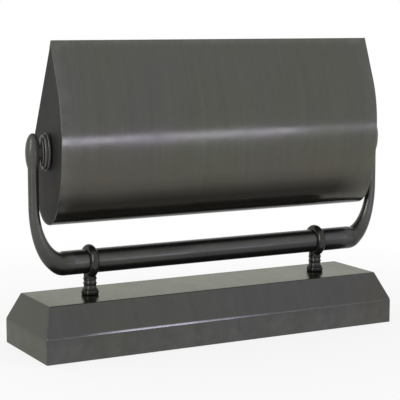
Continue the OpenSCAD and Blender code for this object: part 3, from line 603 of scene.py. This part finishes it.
def plate_screws():
    """Dome-headed slotted screws, one mesh: four near the corners of the plate, two into the ballast."""
    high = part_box("plate_screws")[1]
    x, y = high.x / MM - HEAD_R, high.y / MM - HEAD_R
    spots = [(sx * x, sy * y, HEAD_Z) for sx in (-1, 1) for sy in (-1, 1)]
    spots += [(sx * BALLAST_X, BALLAST_Y, HEAD_Z) for sx in (-1, 1)]
    tip = HEAD_H + SHANK_L
    profile = [(0, 0), (HEAD_R * 0.55, 0.06), (HEAD_R * 0.82, 0.25), (HEAD_R, 0.62 * HEAD_H)]
    profile += [(HEAD_R, HEAD_H), (SHANK_R, HEAD_H), (SHANK_R, tip), (0, tip)]
    screws, slots = bmesh.new(), bmesh.new()
    for spot in spots:
        lathe(screws, profile, Matrix.Translation(spot), seg=40)
        slot = bmesh.ops.create_cube(slots, size=1.0)["verts"]
        bmesh.ops.scale(slots, vec=(2 * HEAD_R, SLOT_W, 2 * SLOT_DEEP), verts=slot)
        bmesh.ops.translate(slots, vec=spot, verts=slot)
    heads = make("felt_screws", screws, sharp=40.0)
    carve(heads, make("slots", slots), sharp=40.0)
    dress(heads, ZINC, "base", "zinc_steel", "plate_screws")


# Posts, crossbar and arms

def post_profile():
    """Turned profile of a post, heights from the top of the base."""
    out = [(0, -11.2), (3.9, -11.2), (3.9, 0.0), (5.2, 0.0)]  # stem in the base
    out += arc((5.2, 0.85), 0.85, -80, 0, 6)  # foot
    out += arc((5.0, 2.25), 1.1, 0, 78, 8) + [(5.0, 3.38)]
    out += arc((4.95, 3.75), 0.58, -46, 76, 8)  # fine bead
    for k in range(9):  # hollow flare
        t = math.radians(90 * k / 8)
        out.append((4.34 + 0.7 * (1 - math.sin(t)), 4.36 + 2.6 * (1 - math.cos(t))))
    out += arc((4.02, 7.8), 0.78, -62, 62, 8)  # lower bead of the neck
    out += [(4.34, 8.62), (4.34, 10.18)]
    out += arc((3.8, 11.1), 0.98, -58, 58, 8)  # upper bead of the neck
    out += [(4.32, 12.0), (4.4, 12.6), (4.4, 19.1), (0, 19.1)]  # root of the ring
    return out


def ring_post(name, x, node):
    """Turned post with a round ring for the crossbar, and a hole for the ring's set screw."""
    crisp, lap, reach, screw_reach = 38.0, 1.0, 8, 6
    bm = bmesh.new()
    lathe(bm, post_profile(), Matrix.Translation((x, 0, TOP_Z)), seg=80)
    post = make(name, bm, crisp)
    ring = [(r, h) for h, r in arc((0, RING_MID), RING_R, 1.0, 179.0, 22)]
    ring += [(BORE_R - lap, -RING_R + 0.3), (BORE_R - lap, RING_R - 0.3)]
    bm = bmesh.new()
    lathe(bm, ring, along_x(x, BAR_Z), seg=96, closed=True)
    carve(post, make("ring", bm, crisp), "UNION", crisp)
    drill(post, (x - reach, 0, BAR_Z), (x + reach, 0, BAR_Z), BORE_R, seg=96)
    drill(post, (x, BAR_R, BAR_Z), (x, BAR_R + screw_reach, BAR_Z), RING_SCREW_R, seg=32)
    dress(post, BRONZE_POST, "base", "bronze_paint", node)


def tube_bar():
    """Crossbar with softly broken ends that meet the arms in a hairline."""
    end = ARM_X - SWEEP_X - STUB
    tip = [(0.0, end), (BAR_R - SEAM, end), (BAR_R, end - SEAM)]
    middle = [(BAR_R, end * (1 - k / 12)) for k in range(1, 24)]
    bm = bmesh.new()
    lathe(bm, tip + middle + [(r, -h) for r, h in reversed(tip)], along_x(YOKE_X, BAR_Z), seg=96)
    dress(make("yoke_bar", bm, sharp=30.0), BRONZE_BAR, "yoke", "bronze_paint", "crossbar")


def taper(t):
    """How far an arm has narrowed at an angle of its bend: slowly at first, then with the sine."""
    u = min(1.0, math.degrees(t) / BEND_EASE)
    return math.sin(t) * u * u * (3 - 2 * u)


def arm_stations():
    """Middle, outward direction and radius of an arm from the seam up to its knob, in X and Z."""
    bend_x, down = ARM_X - SWEEP_X, (0, -1)
    start = bend_x - STUB
    rows = [((start, BAR_Z), down, BAR_R - SEAM), ((start + SEAM, BAR_Z), down, BAR_R)]
    for k in range(61):
        t = math.radians(1.5 * k)
        middle = (bend_x + SWEEP_X * math.sin(t), BAR_Z + SWEEP_Z * (1 - math.cos(t)))
        out = Vector((SWEEP_Z * math.sin(t), -SWEEP_X * math.cos(t))).normalized()
        rows.append((middle, out, BAR_R + (ARM_R - BAR_R) * taper(t)))
    low, top = BAR_Z + SWEEP_Z, PIVOT_Z - KNOB_DROP + ARM_LAP
    rows += [((ARM_X, low + (top - low) * k / 6), (1, 0), ARM_R) for k in range(1, 7)]
    return rows


def swept_arm(name, side, node):
    """Round arm that bends up from the crossbar and narrows towards the knob."""
    seg = 64
    rings = []
    for (cx, cz), (ox, oz), r in arm_stations():
        ring = []
        for k in range(seg):
            a = 2 * math.pi * k / seg
            x = cx + ox * r * math.cos(a)
            ring.append(Vector((YOKE_X + side * x, r * math.sin(a), cz + oz * r * math.cos(a))))
        rings.append(ring)
    bm = bmesh.new()
    skin(bm, rings)
    dress(make(name, bm, sharp=30.0), BRONZE_ARM, "yoke", "bronze_paint", node)


def egg_knob(name, side, node):
    """Egg-shaped head of an arm with the short hub that carries the pivot."""
    low = math.degrees(math.asin(KNOB_DROP / KNOB_LOW))
    profile = [(0, -KNOB_DROP)]
    profile += oval_arc(KNOB_R, KNOB_LOW, [-low + low * k / 18 for k in range(18)])
    profile += oval_arc(KNOB_R, KNOB_UP, range(0, 90, 3))
    profile += [(0, KNOB_UP)]
    x = YOKE_X + side * ARM_X
    bm = bmesh.new()
    lathe(bm, profile, Matrix.Translation((x, 0, PIVOT_Z)), seg=80)
    knob = make(name, bm, sharp=50.0)
    reach = ARM_X - HUB_FACE
    hub = rounded([(0, 0), (HUB_R, 0), (HUB_R, reach), (0, reach)], 0.45)
    bm = bmesh.new()
    lathe(bm, hub, along_x(x, sign=-side), seg=64)
    carve(knob, make("hub", bm, sharp=40.0), "UNION", sharp=40.0)
    screw_x = YOKE_X + side * (HUB_FACE + PIN_IN)
    screw_from, screw_to = 2.0, 8.0
    drill(knob, (screw_x, screw_from, PIVOT_Z), (screw_x, screw_to, PIVOT_Z), PIN_R, seg=24)
    dress(knob, BRONZE_KNOB, "yoke", "bronze_paint", node)


def oval_ring(x, w, h, seg=96):
    """Points of an upright oval about the pivots' axis."""
    turns = [2 * math.pi * k / seg for k in range(seg)]
    return [Vector((x, w / 2 * math.cos(a), PIVOT_Z + h / 2 * math.sin(a))) for a in turns]


def rounded_oval(face, t, w, h, r, inner):
    """Stations of an oval plate of thickness t, its outer edge turned with radius r."""
    rows = [(face, w - 2 * inner, h - 2 * inner), (face + inner, w, h)]
    for k in range(7):
        a = math.radians(15 * k)
        drawn = 2 * r * (1 - math.cos(a))
        rows.append((face + t - r + r * math.sin(a), w - drawn, h - drawn))
    return rows


def oval_pair(name, rows, body, node):
    """Plates on both pivots, one mesh, from ovals: distance from the middle, width, height."""
    bm = bmesh.new()
    for side in (-1, 1):
        skin(bm, [oval_ring(YOKE_X + side * x, w, h) for x, w, h in rows])
    dress(make(name, bm, sharp=35.0), BRONZE_PIVOT, body, "bronze_paint", node)


def pivot_ovals():
    """Pivot plates of the shade, each a neck and two steps, and the collars at the knobs."""
    neck, step = SHADE_HALF + NECK_T, NECK_T + STEP_T
    rows = [(SHADE_HALF, NECK_W, NECK_H), (neck, NECK_W, NECK_H)]
    rows += rounded_oval(neck, STEP_T, PLATE_W, PLATE_H, r=0.7, inner=0.3)
    rows += rounded_oval(SHADE_HALF + step, PLATE_T - step, STEP_W, STEP_H, r=1.1, inner=0.2)
    oval_pair("pivot_rosettes", rows, "shade", "pivot_plates")
    rows = rounded_oval(COLLAR_FACE, COLLAR_T, COLLAR_W, COLLAR_H, r=0.6, inner=0.25)
    oval_pair("pivot_washers", rows, "yoke", "pivot_collars")


# Shade

def powered(v, e):
    """A power that keeps the sign."""
    return math.copysign(abs(v) ** e, v)


def curve_point(t):
    """Point of the section at an angle; its lower half is squarer than a plain oval, most at the back."""
    a = math.radians(t)
    high = SHADE_LOW if t > 180 else SHADE_UP
    fill = 1.0 if t <= 180 else FRONT_FILL if t <= 270 else BACK_FILL
    return Vector((SHADE_A * powered(math.cos(a), fill), high * powered(math.sin(a), fill)))


def shade_section():
    """Outer points of the section from the ridge over the flat front and the round bottom to the lip."""
    scaled = Vector((RIDGE.x / SHADE_A, RIDGE.y / SHADE_UP))
    touch = math.degrees(math.atan2(scaled.y, scaled.x) + math.acos(1 / scaled.length))
    end = 360 - LIP_ANGLE
    curve = [curve_point(touch + (end - touch) * k / 150) for k in range(151)]
    flat = [RIDGE.lerp(curve[0], k / 10) for k in range(1, 10)]
    return [RIDGE.copy()] + flat + curve


def offset(points, inset, open_in):
    """The section moved inwards by inset; its two ends follow the opening."""
    out = []
    last = len(points) - 1
    for k, p in enumerate(points):
        a = (points[min(k + 1, last)] - points[max(k - 1, 0)]).normalized()
        n = Vector((-a.y, a.x))
        if k in (0, last):
            out.append(p + (n + open_in) * inset / (1 + n.dot(open_in)))
        else:
            out.append(p + n * inset)
    return out


# The section, the way along its opening from ridge to lip, inwards from the opening, and out of it
OUTER = shade_section()
OPEN_DIR = (OUTER[-1] - OUTER[0]).normalized()
OPEN_IN = Vector((OPEN_DIR.y, -OPEN_DIR.x))
OUT_DIR = Vector((0, -OPEN_IN.x, -OPEN_IN.y))


def shade_point(x, p):
    """A point of the section at a distance from the middle of the shade."""
    return Vector((YOKE_X + x, SET_Y + p.x, PIVOT_Z + SET_Z + p.y))


def shade_sheet():
    """One bent sheet: folded hems along the opening, rounded cut ends, enamelled inside."""
    skins = {}
    for inset in (0.0, CUT_SOFT, SHEET_T - CUT_SOFT, SHEET_T):
        start = OUTER[0] + OPEN_DIR * HEM_W + OPEN_IN * inset
        stop = OUTER[-1] - OPEN_DIR * HEM_W + OPEN_IN * inset
        skins[inset] = [start] + offset(OUTER, inset, OPEN_IN) + [stop]
    outer, inner = skins[0.0], skins[SHEET_T]
    cut = (skins[CUT_SOFT], skins[SHEET_T - CUT_SOFT])
    xs = [-SHADE_HALF + CUT_SOFT + (2 * SHADE_HALF - 2 * CUT_SOFT) * k / 24 for k in range(25)]
    loops = [(-SHADE_HALF, *cut)] + [(x, outer, inner) for x in xs] + [(SHADE_HALF, *cut)]
    along, across = OPEN_DIR * HEM_TIP, OPEN_IN * HEM_TIP * TIP_LEAN
    rings = []
    for x, a, b in loops:
        lip_tip = [a[-1] - along + across, b[-1] - along - across]
        ridge_tip = [b[0] + along - across, a[0] + along + across]
        rings.append([shade_point(x, p) for p in a + lip_tip + b[::-1] + ridge_tip])
    bm = bmesh.new()
    rows = skin(bm, rings, ends=False)
    n = len(outer)
    for row in (rows[0], rows[-1]):
        out_row, in_row = row[:n], row[n + 2:-2][::-1]
        for k in range(n - 1):
            bm.faces.new((out_row[k], out_row[k + 1], in_row[k + 1], in_row[k]))
        bm.faces.new((out_row[-1], row[n], row[n + 1], in_row[-1]))
        bm.faces.new((in_row[0], row[-2], row[-1], out_row[0]))
    inside = {v for row in rows[1:-1] for v in row[n + 2:-2]}
    for face in bm.faces:
        face.material_index = int(all(v in inside for v in face.verts))
    sheet = make("shade_sheet", bm, sharp=30.0)
    dress(sheet, (BRONZE_SHADE, ENAMEL), "shade", "bronze_paint", "shade_wrap")


def cap_ring(x, soft):
    """Outline of a cap at x, drawn in by soft: inside the sheet, and flush with it between the hems."""
    ring = offset(OUTER, CAP_INSET + soft, OPEN_IN)
    away = HEM_W + HEM_GAP + soft
    top, foot = OUTER[0] + OPEN_DIR * away, OUTER[-1] - OPEN_DIR * away
    deep, flush = OPEN_IN * (CAP_INSET + soft), OPEN_IN * soft
    ring += [foot + deep, foot + flush, top + flush, top + deep]
    return [shade_point(x, p) for p in ring]


def end_plate(name, side, node):
    """End cap set a little inside the sheet, with a rounded rim and a turned flange along the opening."""
    recess, rim, soft, sunk, broken, lap = 0.25, 0.35, 0.25, 0.04, 0.1, 0.05
    face, back, end = SHADE_HALF - recess, SHADE_HALF - CAP_T, SHADE_HALF - FLANGE_W
    stations = [(face, rim), (face - broken, broken), (face - rim, 0.0)]
    stations += [(back + broken, 0.0), (back, broken)]
    bm = bmesh.new()
    rows = skin(bm, [cap_ring(side * x, s) for x, s in stations])
    inside = set(rows[-1])
    away = HEM_W + HEM_GAP
    first, last = OUTER[0] + OPEN_DIR * (away + FLANGE_FROM), OUTER[-1] - OPEN_DIR * (away + FLANGE_TO)
    flange = []
    for x, s in ((end, soft), (end + soft, 0.0), (back + lap, 0.0)):
        lo, hi = first + OPEN_DIR * s, last - OPEN_DIR * s
        near, far = OPEN_IN * (sunk + s), OPEN_IN * (CAP_T - s)
        flange.append([shade_point(side * x, p) for p in (lo + near, hi + near, hi + far, lo + far)])
    skin(bm, flange)
    for f in bm.faces:
        f.material_index = int(all(v in inside for v in f.verts))
    plate = make(name, bm, sharp=30.0)
    flatten(plate)
    dress(plate, (BRONZE_CAP, ENAMEL), "shade", "bronze_paint", node)


# Lampholder and lamp

def hexagon_nuts():
    """Chamfered hexagon nuts of the pivot studs, one mesh."""
    flat_r, high, chamfer, seg = 6.0, 4.0, 0.3, 48
    face_r, free_r = flat_r - 0.1, 2 * flat_r
    sixth = math.pi / 3
    bm = bmesh.new()
    for side in (-1, 1):
        place = along_x(YOKE_X + side * (SHADE_HALF - CAP_T), sign=-side)
        rings = []
        for z, most in ((0.0, face_r), (chamfer, free_r), (high - chamfer, free_r), (high, face_r)):
            ring = []
            for k in range(seg):
                a = 2 * math.pi * k / seg
                to_flat = flat_r / math.cos((a + sixth / 2) % sixth - sixth / 2)
                ring.append(turned(place, min(to_flat, most), z, a))
            rings.append(ring)
        skin(bm, rings)
    dress(make("pivot_nuts", bm, sharp=20.0), BRASS, "shade", "brass", "cap_nuts")


def stud_end():
    """Right pivot stud: threaded inner end with a rounded tip, plain shoulder and grooved journal."""
    tail, gap, thread_r, root, journal_r, groove_r = 5.5, 0.24, 4.0, 0.28, 3.0, 2.6
    start = SHADE_HALF - CAP_T - tail
    shoulder, end, groove = COLLAR_FACE - gap - start, JOURNAL_END - start, HUB_FACE + PIN_IN - start
    profile = [(0, 0), (3.2, 0.0), (3.7, 0.35)]
    profile += [(thread_r - (root if k % 2 else 0.0), 0.7 + 0.3 * k) for k in range(16)]
    profile += [(thread_r, tail), (thread_r, shoulder), (journal_r, shoulder), (journal_r, groove - 0.75)]
    profile += [(groove_r, groove - 0.7), (groove_r, groove + 0.7), (journal_r, groove + 0.75)]
    profile += [(journal_r, end), (0, end)]
    bm = bmesh.new()
    lathe(bm, profile, along_x(YOKE_X + start), seg=48)
    dress(make("right_pivot", bm, sharp=30.0), BRASS, "shade", "brass", "right_stud")


def holder_cap():
    """Spun brass cap of the lampholder with a rolled rim."""
    r, bore = HOLDER_R, 4.05
    crown, crown_out, crown_in = (r - 8.0, 12.0), 8.0, 6.7
    out = [(bore, 0.0), (6.6, 0.0), (7.0, 0.4), (7.0, 4.0)]
    out += arc(crown, crown_out, -90, 0, 16)
    out += arc((r - 0.35, 13.1), 0.5, -60, 80, 6)
    out += [(r - 0.9, 13.78), (r - 1.4, 13.6)]
    out += arc(crown, crown_in, -90, 0, 16)[::-1] + [(bore, 5.3)]
    bm = bmesh.new()
    lathe(bm, out, along_x(LAMP_X + HOLDER_U), seg=80, closed=True)
    dress(make("holder_cap", bm, sharp=30.0), BRASS, "shade", "brass", "socket_cap")


def holder_body():
    """Moulded body of the lampholder: two bands, a ribbed waist, a rounded mouth and the key's hole."""
    r, waist, well, bore = HOLDER_R, HOLDER_R - 0.6, 14.45, 2.0
    out = [(12.0, -4.0), (r - 2.4, -4.0), (r - 2.4, 0.0), (r - 0.1, 0.0), (r, 0.2), (r, 1.9), (waist, 2.5)]
    out += [(waist, 8.0)]
    for k in range(5):
        out += arc((r - 0.75, 9.0 + 1.8 * k), 0.55, -70, 70, 5)
    out += [(waist, 18.0), (waist, 29.4), (r, 30.0)]
    out += arc((r - 0.8, 31.2), 0.8, 0, 90, 5)
    out += [(well, BODY_L), (well, 9.4), (bore, 9.4), (bore, 6.4), (12.0, 6.4)]
    bm = bmesh.new()
    lathe(bm, out, along_x(LAMP_X + BODY_U), seg=80, closed=True)
    body = make("holder_body", bm, sharp=30.0)
    mid = Vector((LAMP_X + KEY_U, 0, PIVOT_Z))
    key_from, key_to, key_r = 10.5, 20.0, 1.75
    drill(body, mid + OUT_DIR * key_from, mid + OUT_DIR * key_to, key_r, seg=32)
    dress(body, PHENOLIC, "shade", "phenolic", "socket_body")


def turn_key():
    """Key of the switch: round shaft and collar, and a waisted finger paddle with ribs."""
    x_dir = Vector((1, 0, 0))
    turn = Matrix((x_dir, OUT_DIR.cross(x_dir), OUT_DIR)).transposed().to_4x4()
    place = Matrix.Translation((LAMP_X + KEY_U, 0, PIVOT_Z)) @ turn
    foot, shaft_r, collar_r, collar_t = HOLDER_R + 0.4, 1.7, 2.9, 1.4
    waist, swell, paddle_t, paddle_l, seg = 2.6, 2.9, 1.2, 7.0, 40
    shaft = [(0, 9.5), (shaft_r, 9.5), (shaft_r, foot), (collar_r, foot), (collar_r, foot + collar_t)]
    bm = bmesh.new()
    lathe(bm, rounded(shaft + [(0, foot + collar_t)], 0.3), place, seg)
    rings = []
    for k in range(13):
        s = k / 12
        half = waist + swell * math.sin(math.pi * min(1.0, 0.25 + 0.62 * s)) * (1.0 if s < 0.96 else 0.92)
        thick = paddle_t * (1.0 if s < 0.9 else 0.75)
        ring = []
        for j in range(seg):
            a = 2 * math.pi * j / seg
            c, d = math.cos(a), math.sin(a)
            rib = 1 + 0.10 * math.cos(6 * math.pi * c) * (abs(d) > 0.5)
            across, through = half * powered(c, 0.6), thick * rib * powered(d, 0.5)
            ring.append(place @ Vector((across, through, foot + 1.2 + paddle_l * s)))
        rings.append(ring)
    skin(bm, rings)
    dress(make("turn_key", bm, sharp=40.0), PHENOLIC, "key", "phenolic", "switch_key")


def lamp_bulb():
    """Tubular lamp glass: thin wall, soft shoulder and a domed end."""
    wall = [(NECK_R, 0.0), (NECK_R, 6.0)]
    for k in range(13):
        s = k / 12
        wall.append((NECK_R + (LAMP_R - NECK_R) * (1 - math.cos(math.pi * s)) / 2, 7 + 10 * s))
    wall += [(LAMP_R, 30.0 + 16 * k) for k in range(6)]
    high = DOME * LAMP_R
    dome = oval_arc(LAMP_R, high, range(0, 91, 5))
    inner_dome = oval_arc(LAMP_R - GLASS_T, high - GLASS_T, range(90, -1, -5))
    profile = wall + [(r, LAMP_L + z) for r, z in dome + inner_dome]
    profile += [(r - GLASS_T, z) for r, z in reversed(wall)]
    bm = bmesh.new()
    lathe(bm, profile, along_x(LAMP_X + GLASS_U), seg=80, closed=True)
    dress(make("lamp_bulb", bm, sharp=40.0), GLASS, "shade", "lamp_glass", "lamp_glass")


def lamp_screw():
    """Rolled aluminium cap of the lamp with a helical thread."""
    seg, steps, pitch, depth, first, last = 72, 96, 3.6, 0.4, 3.7, 18.6
    root = LAMPCAP_R - 0.5
    place = along_x(LAMP_X + LAMP_U + 0.9)
    rings = [circle(place, r, z, seg) for r, z in ((3.0, 0.0), (6.0, 0.0), (9.5, 1.9), (11.8, 3.3))]
    for i in range(steps + 1):
        s = i / steps
        z = first + (last - first) * s
        fade = min(1.0, 6 * s, 6 * (1 - s))
        ring = []
        for k in range(seg):
            wave = math.cos(2 * math.pi * (z / pitch - k / seg))
            ring.append(turned(place, root + depth * fade * wave, z, 2 * math.pi * k / seg))
        rings.append(ring)
    rim = [(LAMPCAP_R - 0.1, 19.0), (LAMPCAP_R, 19.3), (LAMPCAP_R, LAMPCAP_L - 0.3)]
    rim += [(LAMPCAP_R - 0.2, LAMPCAP_L), (root, LAMPCAP_L - 0.1), (root, 19.2)]
    rings += [circle(place, r, z, seg) for r, z in rim]
    bm = bmesh.new()
    skin(bm, rings, ends=False)
    dress(make("lamp_screw", bm, sharp=40.0), ALUMINIUM, "shade", "lamp_cap", "lamp_cap")


def wire(bm, path, r, sides):
    """A round wire along a path of points."""
    rings = []
    last = len(path) - 1
    turns = [2 * math.pi * j / sides for j in range(sides)]
    side = Vector((0.13, 0.21, 1.0))
    for k, p in enumerate(path):
        ahead = (path[min(k + 1, last)] - path[max(k - 1, 0)]).normalized()
        side = (side - ahead * side.dot(ahead)).normalized()
        up = ahead.cross(side)
        rings.append([p + r * (math.cos(a) * side + math.sin(a) * up) for a in turns])
    skin(bm, rings)


def lamp_wires():
    """Support leads and the coiled filament between them."""
    place = along_x(LAMP_X + GLASS_U)
    near, far, lead_y, lead_r = 52.6, 94.0, 1.2, 0.38
    coil_y, coil_r, coil_wire, turns, per_turn = -6.6, 0.62, 0.13, 62, 10
    bm = bmesh.new()
    for y, up in ((lead_y, far), (-lead_y, near)):
        route = [(y, 41.0), (y, 46.0), (y, up - 2.0), (y - 0.25, up - 0.9), (y - 0.9, up - 0.15)]
        route += [(y - 2.0, up), (coil_y + 1.0, up), (coil_y - 0.2, up)]
        wire(bm, [place @ Vector((0, *p)) for p in route], lead_r, sides=10)
    coil = []
    for k in range(turns * per_turn + 1):
        a = 2 * math.pi * k / per_turn
        along = near + (far - near) * k / (turns * per_turn)
        coil.append(place @ Vector((coil_r * math.cos(a), coil_y + coil_r * math.sin(a), along)))
    wire(bm, coil, coil_wire, sides=6)
    dress(make("lamp_wires", bm, sharp=60.0), TUNGSTEN, "shade", "filament_wire", "filament")


# Kept nodes, stage, light and camera

def keep(names, material):
    """Gives nodes that are kept from the part a better material."""
    for name in names:
        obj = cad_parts[name]
        obj.data.materials.clear()
        obj.data.materials.append(material)


def floor():
    """A pale floor with a soft contact shadow that turns to plain white further off."""
    bm = bmesh.new()
    corners = [(x * FLOOR_HALF, y * FLOOR_HALF, 0) for x, y in ((-1, -1), (1, -1), (1, 1), (-1, 1))]
    bm.faces.new([bm.verts.new(p) for p in corners])
    obj = make("floor", bm)
    s = Shader("floor")
    s.set(Base_Color=(0.80, 0.80, 0.80, 1), Roughness=0.9, Specular_IOR_Level=0.0)
    path = s.add("ShaderNodeLightPath")
    seen = s.math("MAXIMUM", path.outputs["Is Camera Ray"], path.outputs["Is Glossy Ray"])
    seen = s.math("MAXIMUM", seen, path.outputs["Is Transmission Ray"])
    away = s.add("ShaderNodeVectorMath", {0: s.place}, operation="LENGTH").outputs["Value"]
    white = s.times(seen, s.span(away, 0.80, 1.0, FLOOR_LIT, FLOOR_WHITE, smooth=True))
    glow = s.add("ShaderNodeEmission", {"Color": (1, 1, 1, 1), "Strength": 1.0})
    blend = s.add("ShaderNodeMixShader", {0: white, 1: s.bsdf.outputs["BSDF"], 2: glow.outputs[0]})
    s.put(s.tree.nodes["Material Output"].inputs["Surface"], blend.outputs[0])
    obj.data.materials.append(s.material)


def area(name, at, aim, size, glow, color=WHITE, tilt=0.0, along=0.0):
    """A soft rectangle of light: glow is its brightness, tilt raises an end, along shifts it."""
    data = bpy.data.lights.new(name, "AREA")
    data.shape = "RECTANGLE"
    data.size, data.size_y = size
    data.energy = glow * math.pi * size[0] * size[1]
    data.color = color
    obj = bpy.data.objects.new(name, data)
    bpy.context.scene.collection.objects.link(obj)
    turn = (Vector(aim) - Vector(at)).to_track_quat("-Z", "Y") @ Quaternion((0, 0, 1), math.radians(tilt))
    obj.location = Vector(at) + turn @ Vector((along, 0, 0))
    obj.rotation_euler = turn.to_euler()
    obj.visible_camera = False


def studio():
    """A white world that is dimmer overhead, a strip of light in front and a tall light at the left."""
    world = bpy.data.worlds.new("studio")
    world.use_nodes = True
    bpy.context.scene.world = world
    tree = world.node_tree
    back = tree.nodes["Background"]
    back.inputs["Color"].default_value = (1, 1, 1, 1)
    place = tree.nodes.new("ShaderNodeTexCoord")
    split = tree.nodes.new("ShaderNodeSeparateXYZ")
    dim = tree.nodes.new("ShaderNodeMapRange")
    dim.interpolation_type = "SMOOTHSTEP"
    for key, value in {"From Min": DIM_FROM, "From Max": DIM_TO, "To Min": 1.0, "To Max": DIM_LEAST}.items():
        dim.inputs[key].default_value = value
    tree.links.new(place.outputs["Generated"], split.inputs["Vector"])
    tree.links.new(split.outputs["Z"], dim.inputs["Value"])
    tree.links.new(dim.outputs["Result"], back.inputs["Strength"])
    area("strip", STRIP_AT, STRIP_AIM, STRIP_SIZE, STRIP_GLOW, STRIP_COLOR, STRIP_TILT)
    area("strip_end", STRIP_AT, STRIP_AIM, END_SIZE, END_GLOW, STRIP_COLOR, STRIP_TILT, END_ALONG)
    area("tall", TALL_AT, TALL_AIM, TALL_SIZE, TALL_GLOW)


def camera():
    """The camera at the photograph's viewing angle."""
    data = bpy.data.cameras.new("camera")
    data.sensor_width = CAMERA_SENSOR
    data.lens = CAMERA_LENS
    data.clip_start, data.clip_end = CLIP_NEAR, CLIP_FAR
    obj = bpy.data.objects.new("camera", data)
    bpy.context.scene.collection.objects.link(obj)
    obj.location = CAMERA_AT
    obj.rotation_euler = (math.radians(CAMERA_PITCH), 0, math.radians(CAMERA_TURN))
    bpy.context.scene.camera = obj


base_shell()
grommet()
felt_sheet()
plate_screws()
ring_post("left_ring_post", POST_DX - POST_X, "left_post")
ring_post("right_ring_post", POST_DX + POST_X, "right_post")
tube_bar()
swept_arm("left_swept_arm", -1, "left_arm")
swept_arm("right_swept_arm", 1, "right_arm")
egg_knob("left_egg_knob", -1, "left_knob")
egg_knob("right_egg_knob", 1, "right_knob")
pivot_ovals()
shade_sheet()
end_plate("left_end_plate", -1, "left_cap")
end_plate("right_end_plate", 1, "right_cap")
hexagon_nuts()
stud_end()
holder_cap()
holder_body()
turn_key()
lamp_bulb()
lamp_screw()
lamp_wires()
keep(("base_plate", "post_washers", "post_nuts"), ZINC)
keep(("ring_screws", "knob_screws"), BLACKED)
keep(("base_weight",), IRON)
keep(("left_stud", "screw_shell", "centre_contact", "lamp_contact"), BRASS)
keep(("lamp_stem",), GLASS)
floor()
studio()
camera()
bpy.context.scene.view_settings.view_transform = "Standard"
